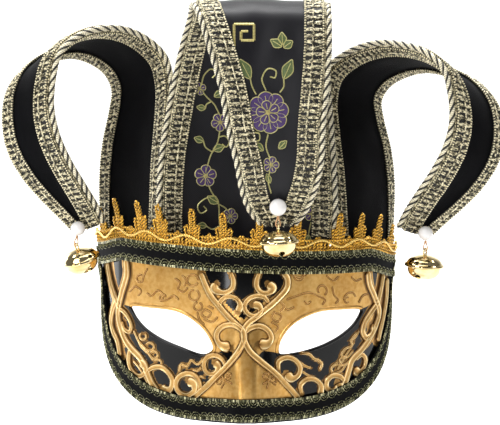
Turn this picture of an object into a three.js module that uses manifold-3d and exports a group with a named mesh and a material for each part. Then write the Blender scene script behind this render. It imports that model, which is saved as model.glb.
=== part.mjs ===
// A jester half mask: a moulded shell with raised scrolls, braid over its rim and brow, a crown
// of metal lace, and three cloth horns that fold outwards to a pearl and a jingle bell.
// Millimetres, +X across, +Y towards the wearer, +Z up.
// The origin is the inside of the shell at the bridge of the nose.
import * as THREE from 'three';
import Module from 'manifold-3d';

const wasm = await Module();
wasm.setup();

// Clearance between pieces that are sewn or glued together
const gap = 0.3;

// Shell
const shellWall = 2;
const faceHalf = 89;          // half width at the temples
const cheekIn = 5;            // narrower than that at the bridge's height
const faceDrop = 69.5;        // rim below the bridge
const faceWrap = 92;          // how deep the plan curve would run if it went right round
const wrapSpare = 2.2;        // the plan curve's half width past the temples
const cheekSquare = 3.5;      // exponent of the rim's corner, 2 is an ellipse
const uprightRadius = 400;    // lean back of the brow and the cheeks
const browHeight = 22.3;      // centre of the brow braid above the bridge
const browSlant = 0.045;      // the braid is glued a little higher on one side
const browEndDrop = 6.5;      // how far it falls at the temples
const browMargin = 9;         // shell above the centre of the brow braid

// Nose
const noseTop = -2;
const noseReach = 15;
const noseLift = 2.5;         // the rim rises under the nose
const noseFlat = 3.5;         // half width of the ridge
const noseHalfTop = 10;
const noseHalfBottom = 27;

// Braids and lace
const braidWall = 1.6;
const browBraidHalf = 6;
const browEndClear = 2.5;     // the brow braid stops this short of the temple
const rimBraidFront = 12;
const rimBraidBack = 4;
const rimBraidSlack = 0.35;   // beyond the gap, over the folds of the nose
const rimEndClear = 1.5;      // the rim braid stops this far under the brow braid
const trimRoom = 4;           // scrolls are cleared this high where a braid lies
const laceWall = 1.2;
const laceHeight = 22;
const laceValley = 0.46;      // shares of the lace's height
const laceLobe = 0.7;
const laceNotch = 0.56;
const laceEnd = 99;           // percent of the shell's half width
const laceLean = 3.5;         // the points stand out from the horns

// Raised scrolls
const reliefHeight = 1.3;
const reliefFoot = 0.8;       // how far a scroll is rooted in the shell
const sketchTilt = 8;         // degrees; the eyes and scrolls are drawn on a plane leaning back
const acrossShare = 1 / 151;  // one unit of the drawing, as a share of faceHalf
const riseShare = 1 / 53;     // the same above the bridge, of the shell's height there
const dropShare = 1 / 123;    // and below it, of faceDrop

// Horns
const clothWall = 2;
const sideInset = 0.5;         // cloth behind the shell's inner face, past the gap
const centreHalf = 47.5;
const centreTop = 167;
const centreReach = 51;
const centreCrown = 15;
const centreSetBack = 2.3;    // its edges start behind the lace
const sideInner = 57;         // where a side horn starts and ends along the shell
const sideOuter = 87.5;
const sideSetBack = 4.5;      // a side horn starts behind the middle one's edge
const sideCrown = 3.6;
const leftTop = 152;
const leftReach = 71;
const leftSpread = 0;
const rightTop = 143;
const rightReach = 78;
const rightSpread = 4;        // the tip hangs further out
const edgeBraid = 9;          // width of the braid folded over each edge
const edgeBraidWall = 1.2;
const edgeBraidSlack = 0.27;  // beyond the gap, because the cloth twists inside it
const cordRadius = 1.5;

// Pearls, wires and bells
const sidePearl = 8.3;
const centrePearl = 9.6;
const pearlHole = 0.7;
const wireRadius = 0.4;
const wireDrop = 6;           // from the pearl's foot to the bottom of the loop
const wireHalf = 1.7;
const bellFlange = 11.2;      // radius of the rolled seam
const bellBody = 9.7;
const bellUp = 6.2;
const bellDown = 8.4;
const bellWall = 0.9;
const bellSlot = 2.4;
const shankRing = 1.9;
const shankWire = 0.55;
const bellSwing = 0.2;        // play left in the loop, past the gap

// Section of the horns at the side, from the shell to the tip. Reach is outwards and height
// upwards, in percent of the horn's reach and top, for the front edge and the back edge.
// Half is the half width in percent of that at the shell.
const sideRows = [
  { frontReach: 0, frontHeight: 14, backReach: 0, backHeight: 14, half: 100, crown: 100 },
  { frontReach: -3, frontHeight: 32, backReach: 2, backHeight: 30, half: 100, crown: 100 },
  { frontReach: -8, frontHeight: 50, backReach: 4, backHeight: 44, half: 92, crown: 90 },
  { frontReach: -14, frontHeight: 65, backReach: 3, backHeight: 56, half: 84, crown: 80 },
  { frontReach: -18, frontHeight: 79, backReach: -2, backHeight: 69, half: 76, crown: 60 },
  { frontReach: -13, frontHeight: 89, backReach: -3, backHeight: 77, half: 72, crown: 40 },
  { frontReach: 4, frontHeight: 96, backReach: 6, backHeight: 84, half: 68, crown: 30 },
  { frontReach: 27, frontHeight: 100, backReach: 24, backHeight: 89, half: 65, crown: 30 },
  { frontReach: 50, frontHeight: 100, backReach: 44, backHeight: 91, half: 63, crown: 30 },
  { frontReach: 71, frontHeight: 97, backReach: 67, backHeight: 89, half: 61, crown: 30 },
  { frontReach: 86, frontHeight: 91, backReach: 89, backHeight: 84, half: 58, crown: 20 },
  { frontReach: 92, frontHeight: 82, backReach: 103, backHeight: 76, half: 55, crown: 0 },
  { frontReach: 93, frontHeight: 71, backReach: 107, backHeight: 66, half: 52, crown: -20 },
  { frontReach: 87, frontHeight: 61, backReach: 104, backHeight: 56, half: 48, crown: -30 },
  { frontReach: 75, frontHeight: 51, backReach: 92, backHeight: 46, half: 43, crown: -30 },
  { frontReach: 61, frontHeight: 42, backReach: 77, backHeight: 38, half: 38, crown: -20 },
  { frontReach: 48, frontHeight: 34, backReach: 62, backHeight: 31, half: 31, crown: -10 },
  { frontReach: 38, frontHeight: 27, backReach: 48, backHeight: 24, half: 21, crown: 0 },
];
const hornSteps = 20;         // sections along a horn
const sideSpreadFrom = 10;    // row of the table where the tip starts to hang further out

// The middle horn, with both edges at one reach and height. Left and right are in percent of
// its half width at the shell.
const centreRows = [
  { reach: 0, height: 13, left: -98, right: 98, crown: 100 },
  { reach: 0, height: 30, left: -98, right: 100, crown: 93 },
  { reach: -6, height: 44, left: -96, right: 98, crown: 73 },
  { reach: -12, height: 57, left: -90, right: 95, crown: 53 },
  { reach: -14, height: 71, left: -81, right: 91, crown: 33 },
  { reach: -8, height: 85, left: -70, right: 88, crown: 20 },
  { reach: 12, height: 95, left: -60, right: 87, crown: 13 },
  { reach: 47, height: 100, left: -55, right: 87, crown: 10 },
  { reach: 82, height: 97, left: -47, right: 87, crown: 0 },
  { reach: 98, height: 87, left: -35, right: 87, crown: -13 },
  { reach: 100, height: 73, left: -21, right: 84, crown: -17 },
  { reach: 100, height: 60, left: -13, right: 80, crown: -17 },
  { reach: 96, height: 48, left: -3, right: 78, crown: -13 },
  { reach: 86, height: 39, left: 3, right: 71, crown: -10 },
  { reach: 73, height: 32, left: 12, right: 61, crown: -7 },
  { reach: 61, height: 27, left: 25, right: 49, crown: 0 },
];

// Points of the lace, across in percent of the shell's half width and tall in percent of the
// lace's height.
const lacePoints = [
  { across: -93, tall: 92 },
  { across: -82, tall: 108 },
  { across: -67, tall: 106 },
  { across: -54, tall: 103 },
  { across: -34, tall: 100 },
  { across: -14, tall: 95 },
  { across: 8, tall: 92 },
  { across: 32, tall: 98 },
  { across: 58, tall: 100 },
  { across: 72, tall: 98 },
  { across: 84, tall: 96 },
  { across: 94, tall: 84 },
];

// Columns of the shell, in percent of the way along the rim from the bottom to the temple, and
// its rows, in percent of the way from the top edge to the rim.
const shellColumns = [0, 3.2, 6.6, 10, 13.5, 18, 24, 31, 39, 47, 55, 63, 72, 81, 91, 100];
const shellRows = [0, 26, 42, 56, 70, 84, 100];

// Eye holes, drawn in the sketch's units from the bridge
const leftEye = [
  [-115, -5.5], [-95, -6], [-66, -10.5], [-47, -22], [-36, -35], [-31, -50], [-40, -56.5],
  [-66, -48.5], [-87, -39], [-102, -28], [-112, -15],
];
const rightEye = [
  [114, -9], [93, -8], [70, -10.5], [48, -20.5], [36.5, -32], [30, -46], [31, -55.5],
  [48, -55], [76, -46.5], [96, -35], [109, -22],
];

// Scrolls, drawn in the same units. Each line runs through its points; wide is its width.
const scrolls = [
  {
    wide: 6,
    line: [[-44, 24], [-36, 7], [-28, -4], [-10, -24], [-2, -33], [-5, -50], [-22, -73], [-50, -98]],
  },
  { wide: 6, line: [[35, 24], [38, 11], [25, -5], [10, -17], [-3, -29]] },
  { wide: 6, line: [[-3, -36], [2, -51], [22, -72], [38, -86], [50, -99]] },
  { wide: 5, line: [[-10, -26], [-22, -26], [-28, -33], [-22, -45], [-15, -46]] },
  { wide: 5, line: [[4, -29], [13, -26], [21, -32], [22, -40], [13, -45]] },
  { wide: 4.5, line: [[-25, -8], [-24, 0], [-17, 4], [-11, -4], [-10, -14]] },
  { wide: 4.5, line: [[15, -10], [18, -3], [10, 6], [-2, -1], [2, -12], [9, -9]] },
  { wide: 4.5, line: [[-15, 24], [-13, 12], [-25, 7], [-32, 12], [-26, 15]] },
  { wide: 4.5, line: [[12, 24], [10, 10], [21, 7], [26, 13], [16, 14]] },
  { wide: 6, line: [[-117, 38], [-120, 16], [-126, -6], [-124, -34], [-108, -58], [-95, -80], [-85, -97]] },
  { wide: 4.5, line: [[-136, 35], [-131, 18], [-125, 2]] },
  { wide: 4.5, line: [[-130, -8], [-131, -28], [-124, -46]] },
  { wide: 4.5, line: [[-123, -10], [-114, -22], [-114, -36]] },
  { wide: 4.5, line: [[-114, -52], [-116, -66], [-104, -78], [-99, -66], [-109, -56]] },
  { wide: 5, line: [[-94, -72], [-80, -69], [-71, -86], [-78, -91], [-85, -85]] },
  { wide: 4.5, line: [[-32, -75], [-38, -64], [-32, -56], [-24, -62], [-28, -72]] },
  { wide: 4.5, line: [[-64, -94], [-67, -82], [-58, -74], [-48, -80], [-50, -92]] },
  { wide: 6, line: [[120, 24], [122, 8], [131, -10], [126, -34], [108, -54], [99, -74], [90, -95]] },
  { wide: 4.5, line: [[134, 26], [130, 5], [118, -18], [111, -32], [117, -38]] },
  { wide: 4.5, line: [[140, 20], [136, -8], [132, -38]] },
  { wide: 4.5, line: [[115, -55], [115, -70], [108, -72]] },
  { wide: 4.5, line: [[86, -93], [78, -88], [80, -78], [88, -76], [95, -84]] },
  { wide: 4.5, line: [[54, -95], [54, -82], [62, -78], [71, -84], [71, -94]] },
  { wide: 4.5, line: [[32, -72], [38, -62], [47, -64], [48, -73], [40, -76]] },
];

const V = (x, y, z) => new THREE.Vector3(x, y, z);
const mix = THREE.MathUtils.lerp;
const smooth = (low, high, value) => THREE.MathUtils.smoothstep(value, low, high);
const tiltSin = Math.sin(THREE.MathUtils.degToRad(sketchTilt));
const tiltCos = Math.cos(THREE.MathUtils.degToRad(sketchTilt));

// Solids

// A closed mesh from points and triangles, with its faces turned outwards.
function closedMesh(points, triangles) {
  let volume = 0;
  for (const [a, b, c] of triangles) {
    volume += points[a].dot(points[b].clone().cross(points[c]));
  }
  const geometry = new THREE.BufferGeometry();
  const values = points.flatMap((p) => p.toArray());
  geometry.setAttribute('position', new THREE.Float32BufferAttribute(values, 3));
  geometry.setIndex(triangles.flatMap(([a, b, c]) => (volume < 0 ? [a, c, b] : [a, b, c])));
  return geometry;
}

function toSolid(geometry) {
  const mesh = new wasm.Mesh({
    numProp: 3,
    vertProperties: Float32Array.from(geometry.attributes.position.array),
    triVerts: Uint32Array.from(geometry.index.array),
  });
  mesh.merge();
  return new wasm.Manifold(mesh);
}

function toGeometry(solid) {
  const mesh = solid.getMesh();
  const geometry = new THREE.BufferGeometry();
  geometry.setAttribute('position', new THREE.BufferAttribute(mesh.vertProperties, 3));
  geometry.setIndex(new THREE.BufferAttribute(mesh.triVerts, 1));
  return geometry;
}

// A solid through a run of sections, each a ring of as many points. A closed run joins its
// last section to its first; an open one is capped with the flat outline given.
function loft(rings, closed, outline) {
  const count = rings[0].length;
  const points = rings.flat();
  const triangles = [];
  const last = closed ? rings.length : rings.length - 1;
  for (let k = 0; k < last; k += 1) {
    const near = k * count;
    const far = ((k + 1) % rings.length) * count;
    for (let j = 0; j < count; j += 1) {
      const next = (j + 1) % count;
      triangles.push([near + j, near + next, far + next], [near + j, far + next, far + j]);
    }
  }
  if (!closed) {
    const end = (rings.length - 1) * count;
    for (const [a, b, c] of capTriangles(outline)) {
      triangles.push([a, c, b], [end + a, end + b, end + c]);
    }
  }
  return closedMesh(points, triangles);
}

// Triangles over a flat outline, wound the way the outline runs.
function capTriangles(outline) {
  const flat = outline.map(([u, v]) => new THREE.Vector2(u, v));
  const forwards = !THREE.ShapeUtils.isClockWise(flat);
  const faces = THREE.ShapeUtils.triangulateShape(flat, []);
  return faces.map(([a, b, c]) => {
    const turn = (flat[b].x - flat[a].x) * (flat[c].y - flat[a].y)
      - (flat[c].x - flat[a].x) * (flat[b].y - flat[a].y);
    return (turn > 0) === forwards ? [a, b, c] : [a, c, b];
  });
}

// A ring's points from an outline, an origin and two axes.
const placed = (outline, origin, across, up) => outline.map(
  ([u, v]) => origin.clone().addScaledVector(across, u).addScaledVector(up, v),
);

const circle = (radius, sides) => Array.from({ length: sides }, (_, j) => {
  const turn = (j / sides) * 2 * Math.PI;
  return [radius * Math.cos(turn), radius * Math.sin(turn)];
});

// Face

const planHalf = faceHalf + wrapSpare;

function noseY(x, z) {
  const down = THREE.MathUtils.clamp((noseTop - z) / (noseTop + faceDrop), 0, 1);
  const half = mix(noseHalfTop, noseHalfBottom, down);
  return noseReach * smooth(0, 1, down) * (1 - smooth(noseFlat, half, Math.abs(x)));
}

// The shell's outer face.
function faceY(x, z) {
  const share = Math.min(Math.abs(x) / planHalf, 0.995);
  const plan = faceWrap * (1 - Math.sqrt(1 - share * share));
  return plan + (z * z) / (2 * uprightRadius) - noseY(x, z) - shellWall;
}

// A point of the outer face, moved out of it by a distance.
function onFace(x, z, out) {
  const step = 0.05;
  const slopeX = (faceY(x + step, z) - faceY(x - step, z)) / (2 * step);
  const slopeZ = (faceY(x, z + step) - faceY(x, z - step)) / (2 * step);
  return V(x, faceY(x, z), z).addScaledVector(V(slopeX, -1, slopeZ).normalize(), out);
}

const browZ = (x) => browHeight - browSlant * x
  - browEndDrop * smooth(faceHalf * 0.78, faceHalf, Math.abs(x));
const topZ = (x) => browZ(x) + browMargin;

// The rim's right half from the bottom to the temple, then any point along it by its share.
function rimHalf(side) {
  const rise = topZ(side * faceHalf);
  const lift = (x) => noseLift * (1 - smooth(noseFlat, noseHalfBottom, x));
  const points = [];
  for (let k = 0; k <= 60; k += 1) {
    const turn = (k / 60) * (Math.PI / 2);
    const x = (faceHalf - cheekIn) * Math.sin(turn) ** (2 / cheekSquare);
    points.push(V(x, 0, lift(x) - faceDrop * Math.cos(turn) ** (2 / cheekSquare)));
  }
  for (let k = 1; k <= 10; k += 1) {
    points.push(V(faceHalf - cheekIn * (1 - smooth(0, 1, k / 10)), 0, (rise * k) / 10));
  }
  return points;
}

function rimPoint(signedShare) {
  const side = signedShare < 0 ? -1 : 1;
  const points = rimHalf(side);
  const lengths = [0];
  for (let k = 1; k < points.length; k += 1) {
    lengths.push(lengths[k - 1] + points[k].distanceTo(points[k - 1]));
  }
  const wanted = (Math.abs(signedShare) / 100) * lengths[lengths.length - 1];
  let k = 1;
  while (k < points.length - 1 && lengths[k] < wanted) k += 1;
  const part = (wanted - lengths[k - 1]) / (lengths[k] - lengths[k - 1]);
  const point = points[k - 1].clone().lerp(points[k], Math.min(part, 1));
  return { x: side * point.x, z: point.z };
}

// Top end of a column of the shell.
function topPoint(signedShare) {
  const x = faceHalf * Math.sin((signedShare / 100) * (Math.PI / 2));
  return { x, z: topZ(x) };
}

const signedColumns = [...shellColumns.slice(1).reverse().map((share) => -share), ...shellColumns];

function shellSolid() {
  const points = [];
  const rows = shellRows.length;
  for (const share of signedColumns) {
    const top = topPoint(share);
    const rim = rimPoint(share);
    for (const out of [0, -shellWall]) {
      for (const row of shellRows) {
        points.push(onFace(mix(top.x, rim.x, row / 100), mix(top.z, rim.z, row / 100), out));
      }
    }
  }
  const at = (column, back, row) => (column * 2 + back) * rows + row;
  const triangles = [];
  const quad = (a, b, c, d) => triangles.push([a, b, c], [a, c, d]);
  const last = signedColumns.length - 1;
  for (let k = 0; k < last; k += 1) {
    for (let j = 0; j < rows - 1; j += 1) {
      quad(at(k, 0, j), at(k, 0, j + 1), at(k + 1, 0, j + 1), at(k + 1, 0, j));
      quad(at(k, 1, j), at(k + 1, 1, j), at(k + 1, 1, j + 1), at(k, 1, j + 1));
    }
    quad(at(k, 0, 0), at(k + 1, 0, 0), at(k + 1, 1, 0), at(k, 1, 0));
    quad(at(k, 0, rows - 1), at(k, 1, rows - 1), at(k + 1, 1, rows - 1), at(k + 1, 0, rows - 1));
  }
  for (let j = 0; j < rows - 1; j += 1) {
    quad(at(0, 0, j), at(0, 1, j), at(0, 1, j + 1), at(0, 0, j + 1));
    quad(at(last, 0, j), at(last, 0, j + 1), at(last, 1, j + 1), at(last, 1, j));
  }
  return toSolid(dropSlivers(points, triangles));
}

// Joins points that coincide and leaves out the triangles that this flattens.
function dropSlivers(points, triangles) {
  const kept = [];
  const places = new Map();
  const index = points.map((point) => {
    const key = point.toArray().map((value) => Math.round(value * 1e4)).join(' ');
    if (!places.has(key)) {
      places.set(key, kept.length);
      kept.push(point);
    }
    return places.get(key);
  });
  const whole = triangles
    .map((triangle) => triangle.map((corner) => index[corner]))
    .filter(([a, b, c]) => a !== b && b !== c && c !== a);
  return closedMesh(kept, whole);
}

// A sketch point in millimetres, and the same point carried back onto the face.
const sketchPoint = ([u, v]) => ({
  x: u * acrossShare * faceHalf,
  h: v > 0 ? v * riseShare * (browHeight + browMargin) : v * dropShare * faceDrop,
});

function sketchOnFace([u, v], out) {
  const { x, h } = sketchPoint([u, v]);
  let z = h;
  for (let k = 0; k < 8; k += 1) z = (h - faceY(x, z) * tiltSin) / tiltCos;
  return { x, z, point: onFace(x, z, out) };
}

function eyeSolid(table) {
  const corners = table.map((pair) => {
    const { x, h } = sketchPoint(pair);
    return V(x, h, 0);
  });
  const curve = new THREE.CatmullRomCurve3(corners, true, 'centripetal');
  const corner = curve.getPoints(26).slice(0, -1);
  const shape = new THREE.Shape(corner.map((p) => new THREE.Vector2(p.x, p.y)));
  const depth = 2 * faceWrap;
  const geometry = new THREE.ExtrudeGeometry(shape, { depth, bevelEnabled: false, steps: 1 });
  geometry.translate(0, 0, -depth / 2);
  const turned = new THREE.Matrix4();
  turned.makeBasis(V(1, 0, 0), V(0, tiltSin, tiltCos), V(0, -tiltCos, tiltSin));
  geometry.applyMatrix4(turned);
  return toSolid(indexed(geometry));
}

// Shared corners for a geometry whose faces each have their own.
function indexed(geometry) {
  const position = geometry.attributes.position;
  const points = [];
  for (let k = 0; k < position.count; k += 1) points.push(V().fromBufferAttribute(position, k));
  const source = geometry.index ? Array.from(geometry.index.array) : points.map((_, k) => k);
  const triangles = [];
  for (let k = 0; k < source.length; k += 3) triangles.push(source.slice(k, k + 3));
  return dropSlivers(points, triangles);
}

// One raised scroll, ridged along its middle.
function scrollSolid({ wide, line }) {
  const half = wide * acrossShare * faceHalf * 0.5;
  const flat = line.map(([u, v]) => V(u, v, 0));
  const curve = new THREE.CatmullRomCurve3(flat, false, 'centripetal');
  const steps = Math.round(1.05 * (line.length - 1)) + 1;
  const rings = [];
  const outline = [[-half, -reliefFoot], [half, -reliefFoot], [0, reliefHeight]];
  for (let k = 0; k <= steps; k += 1) {
    const here = curve.getPoint(k / steps);
    const along = curve.getTangent(k / steps);
    const at = sketchOnFace([here.x, here.y], 0);
    const next = sketchOnFace([here.x + along.x, here.y + along.y], 0).point;
    const ahead = next.sub(at.point).normalize();
    const out = onFace(at.x, at.z, 1).sub(at.point).normalize();
    const across = ahead.clone().cross(out).normalize();
    const taper = k === 0 || k === steps ? 0.6 : 1;
    rings.push(placed(outline.map(([u, v]) => [u * taper, v]), at.point, across, out));
  }
  return toSolid(loft(rings, false, outline));
}

// Braid and lace on the face

// Shares of the rim where the rim braid runs, ending under the brow braid.
function rimShares() {
  const clear = (share) => {
    const { x, z } = rimPoint(share);
    return z < browZ(x) - browBraidHalf - gap - rimEndClear;
  };
  return signedColumns.filter(clear);
}

// A braid folded over the rim: a front leg, the turn and a short back leg.
function rimBraidSolid(spare, wallOut, shares) {
  const rings = shares.map((share) => {
    const rim = rimPoint(share);
    const top = topPoint(share);
    const length = Math.hypot(top.x - rim.x, top.z - rim.z);
    const stepX = (top.x - rim.x) / length;
    const stepZ = (top.z - rim.z) / length;
    const spot = (inwards, out) => onFace(rim.x + stepX * inwards, rim.z + stepZ * inwards, out);
    const edge = -(gap + braidWall + spare);
    const inner = -gap + spare;
    return [
      spot(rimBraidFront + spare, gap + rimBraidSlack - spare),
      spot(rimBraidFront / 2, gap + rimBraidSlack - spare),
      spot(inner, gap + rimBraidSlack - spare),
      spot(inner, -shellWall - gap - rimBraidSlack),
      spot(rimBraidBack, -shellWall - gap - rimBraidSlack),
      spot(rimBraidBack, -shellWall - gap - rimBraidSlack - braidWall),
      spot(edge, -shellWall - gap - rimBraidSlack - braidWall),
      spot(edge, gap + rimBraidSlack + wallOut),
      spot(rimBraidFront / 2, gap + rimBraidSlack + wallOut),
      spot(rimBraidFront + spare, gap + rimBraidSlack + wallOut),
    ];
  });
  const outline = [[12, 1], [6, 1], [0, 1], [0, -1], [4, -1], [4, -2], [-1, -2], [-1, 2], [6, 2], [12, 2]];
  return loft(rings, false, outline);
}

// A strip laid along the brow, from a lower to an upper height at each place across.
function browStrip(places, low, high, nearOut, farOut) {
  const rings = places.map((x) => {
    const foot = low(x);
    const head = high(x);
    const heights = [foot, (foot + head) / 2, head];
    return [
      ...heights.map((z) => onFace(x, z, nearOut)),
      ...heights.reverse().map((z) => onFace(x, z, farOut)),
    ];
  });
  const ring = [[0, 0], [0, 1], [0, 2], [1, 2], [1, 1], [1, 0]];
  return loft(rings, false, ring);
}

// Places across the brow, evenly spaced along the curve of the face.
const browPlaces = (count, end) => Array.from(
  { length: count + 1 },
  (_, k) => end * Math.sin(((2 * k) / count - 1) * (Math.PI / 2)),
);

// One side of a point of the lace, from its foot to its top: how far out, and how high.
const lacePoint = [
  { towards: 0.72, rise: (height) => height * laceLobe * 0.92 },
  { towards: 0.5, rise: (height) => height * laceLobe },
  { towards: 0.36, rise: (height) => height * laceNotch },
  { towards: 0.12, rise: (height) => height },
];

function laceGeometry() {
  const foot = (x) => browZ(x) + browBraidHalf + gap;
  const columns = [];
  const between = lacePoints.slice(1).map((p, k) => (p.across + lacePoints[k].across) / 2);
  const edges = [-laceEnd, ...between, laceEnd];
  lacePoints.forEach(({ across, tall }, k) => {
    const from = edges[k];
    const to = edges[k + 1];
    const height = tall / 100;
    columns.push({ across: from, tall: laceValley });
    for (const { towards, rise } of lacePoint) {
      columns.push({ across: mix(across, from, towards), tall: rise(height) });
    }
    for (const { towards, rise } of [...lacePoint].reverse()) {
      columns.push({ across: mix(across, to, towards), tall: rise(height) });
    }
  });
  columns.push({ across: laceEnd, tall: laceValley });
  const rings = columns.map(({ across, tall }) => {
    const x = (across / 100) * faceHalf;
    const low = foot(x);
    const base = onFace(x, low, 0);
    const out = onFace(x, low, 1).sub(base);
    const at = (share, past) => base.clone()
      .addScaledVector(V(0, 0, 1), share * laceHeight)
      .addScaledVector(out, past + laceLean * share * share);
    return [at(0, gap), at(tall, gap), at(tall, gap + laceWall), at(0, gap + laceWall)];
  });
  return loft(rings, false, [[0, 0], [0, 1], [1, 1], [1, 0]]);
}

// Horns

// Where a horn's cloth starts: behind the shell at a place across.
const hornStart = (x, setBack) => onFace(x, browZ(x), -(shellWall + gap + setBack + clothWall / 2));

// Stations of a side horn: both edges, the crown between them.
function sideStations(side, top, reach, spread) {
  const inner = hornStart(side * sideInner, sideSetBack);
  const outer = hornStart(side * sideOuter, sideInset);
  const centre = inner.clone().add(outer).multiplyScalar(0.5).setZ(0);
  const across = inner.clone().sub(outer).setZ(0);
  const half = across.length() / 2;
  across.normalize();
  const out = V(across.y, -across.x, 0);
  if (out.x * side < 0) out.negate();
  return sideRows.map((row, k) => {
    const past = Math.max(0, (k - sideSpreadFrom) / (sideRows.length - 1 - sideSpreadFrom)) * spread;
    const edge = (reachShare, heightShare, way) => centre.clone()
      .addScaledVector(out, (reachShare / 100) * reach + past)
      .addScaledVector(across, (way * half * row.half) / 100)
      .setZ((heightShare / 100) * top);
    return {
      front: edge(row.frontReach, row.frontHeight, 1),
      back: edge(row.backReach, row.backHeight, -1),
      crown: (sideCrown * row.crown) / 100,
    };
  });
}

function centreStations() {
  const start = hornStart(centreHalf, centreSetBack).y;
  return centreRows.map((row) => {
    const edge = (share) => V((share / 100) * centreHalf, start - (row.reach / 100) * centreReach,
      (row.height / 100) * centreTop);
    return { front: edge(row.right), back: edge(row.left), crown: (centreCrown * row.crown) / 100 };
  });
}

// A place on a horn's cloth, measured up from its tip and across from its front edge.
function onCloth(frames, up, part) {
  const crossing = ({ line }) => {
    const spot = part * (line.length - 1);
    const before = Math.min(Math.floor(spot), line.length - 2);
    return line[before].clone().lerp(line[before + 1], spot - before);
  };
  let left = up;
  let k = frames.length - 1;
  let step = crossing(frames[k]).distanceTo(crossing(frames[k - 1]));
  while (left > step && k > 1) {
    left -= step;
    k -= 1;
    step = crossing(frames[k]).distanceTo(crossing(frames[k - 1]));
  }
  const share = left / step;
  return {
    point: crossing(frames[k]).lerp(crossing(frames[k - 1]), share),
    out: frames[k].out.clone().lerp(frames[k - 1].out, share).normalize(),
  };
}

// Even stations along a horn, with the way along, the way across and the way out of the cloth.
function hornFrames(stations, count, folds) {
  const front = new THREE.CatmullRomCurve3(stations.map((s) => s.front), false, 'centripetal');
  const back = new THREE.CatmullRomCurve3(stations.map((s) => s.back), false, 'centripetal');
  const crowns = new THREE.SplineCurve(stations.map((s, k) => new THREE.Vector2(k, s.crown)));
  return Array.from({ length: count + 1 }, (_, k) => {
    const share = k / count;
    const a = front.getPoint(share);
    const b = back.getPoint(share);
    const along = front.getTangent(share).add(back.getTangent(share)).normalize();
    const across = b.clone().sub(a).normalize();
    const out = across.clone().cross(along).normalize();
    const crown = crowns.getPoint(share).y;
    const line = Array.from({ length: folds + 1 }, (_, j) => {
      const part = j / folds;
      return a.clone().lerp(b, part).addScaledVector(out, 4 * crown * part * (1 - part));
    });
    return { along, out, line };
  });
}

function hornCloth(frames) {
  const folds = frames[0].line.length - 1;
  const outline = [];
  for (let j = 0; j <= folds; j += 1) outline.push([j, 1]);
  for (let j = folds; j >= 0; j -= 1) outline.push([j, -1]);
  const rings = frames.map(({ along, out, line }) => {
    const slopes = line.map((_, j) => {
      const before = line[Math.max(j - 1, 0)];
      const after = line[Math.min(j + 1, folds)];
      return after.clone().sub(before).cross(along).normalize();
    });
    const turned = slopes.map((slope) => (slope.dot(out) < 0 ? slope.negate() : slope));
    const upper = line.map((p, j) => p.clone().addScaledVector(turned[j], clothWall / 2));
    const lower = line.map((p, j) => p.clone().addScaledVector(turned[j], -clothWall / 2));
    return [...upper, ...lower.reverse()];
  });
  return loft(rings, false, outline);
}

// The way off the cloth at an edge, and the way out of its face there.
function edgeAxes(frame, atBack) {
  const line = frame.line;
  const edge = atBack ? line[line.length - 1] : line[0];
  const inside = atBack ? line[line.length - 2] : line[1];
  const off = edge.clone().sub(inside).normalize();
  const face = off.clone().cross(frame.along).normalize();
  const strip = line[0].distanceTo(line[line.length - 1]);
  return { edge, off, face, strip };
}

// A braid folded over one edge of a horn.
function edgeBraidGeometry(frames, atBack) {
  const half = clothWall / 2 + gap + edgeBraidSlack;
  const full = half + edgeBraidWall;
  const outlineFor = (leg) => [
    [-leg, half], [gap, half], [gap, -half], [-leg, -half],
    [-leg, -full], [gap + edgeBraidWall, -full], [gap + edgeBraidWall, full], [-leg, full],
  ];
  const rings = frames.map((frame) => {
    const { edge, off, face, strip } = edgeAxes(frame, atBack);
    const leg = Math.min(edgeBraid, strip / 2 - gap);
    return placed(outlineFor(leg), edge, off, face);
  });
  return loft(rings, false, outlineFor(edgeBraid));
}

function edgeCordGeometry(frames, atBack) {
  const outline = circle(cordRadius, 5);
  const rings = frames.map((frame) => {
    const { edge, off, face } = edgeAxes(frame, atBack);
    const past = gap + edgeBraidWall + gap + edgeBraidSlack + cordRadius;
    const middle = edge.clone().addScaledVector(off, past);
    return placed(outline, middle, off, face);
  });
  return loft(rings, false, outline);
}

// Pearl, wire and bell

function pearlGeometry(diameter) {
  const radius = diameter / 2;
  const profile = [];
  const start = Math.asin(pearlHole / radius);
  for (let k = 0; k <= 6; k += 1) {
    const turn = mix(start, Math.PI - start, k / 6);
    profile.push(new THREE.Vector2(radius * Math.sin(turn), -radius * Math.cos(turn)));
  }
  profile.push(profile[0].clone());
  return indexed(new THREE.LatheGeometry(profile, 12).rotateX(Math.PI / 2));
}

// A wire through the pearl that turns into a narrow drop shaped loop under it.
function wireSolid(diameter) {
  const stemTop = diameter / 2;
  const stemFoot = -diameter / 2 - 1;
  const loopFoot = -diameter / 2 - wireDrop;
  const stem = loft([stemTop, stemFoot - wireRadius].map(
    (z) => placed(circle(wireRadius, 6), V(0, 0, z), V(1, 0, 0), V(0, 1, 0)),
  ), false, circle(wireRadius, 6));
  const points = [];
  for (let k = 0; k < 12; k += 1) {
    const turn = (k / 12) * 2 * Math.PI;
    const low = (1 - Math.cos(turn)) / 2;
    points.push(V(wireHalf * Math.sin(turn) * (0.35 + 0.65 * low), 0, mix(stemFoot, loopFoot, low)));
  }
  const curve = new THREE.CatmullRomCurve3(points, true);
  const rings = points.map((point, k) => {
    const along = curve.getTangent(k / points.length);
    const across = along.clone().cross(V(0, 1, 0)).normalize();
    return placed(circle(wireRadius, 5), point, across, V(0, 1, 0));
  });
  return toSolid(stem).add(toSolid(loft(rings, true)));
}

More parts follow.
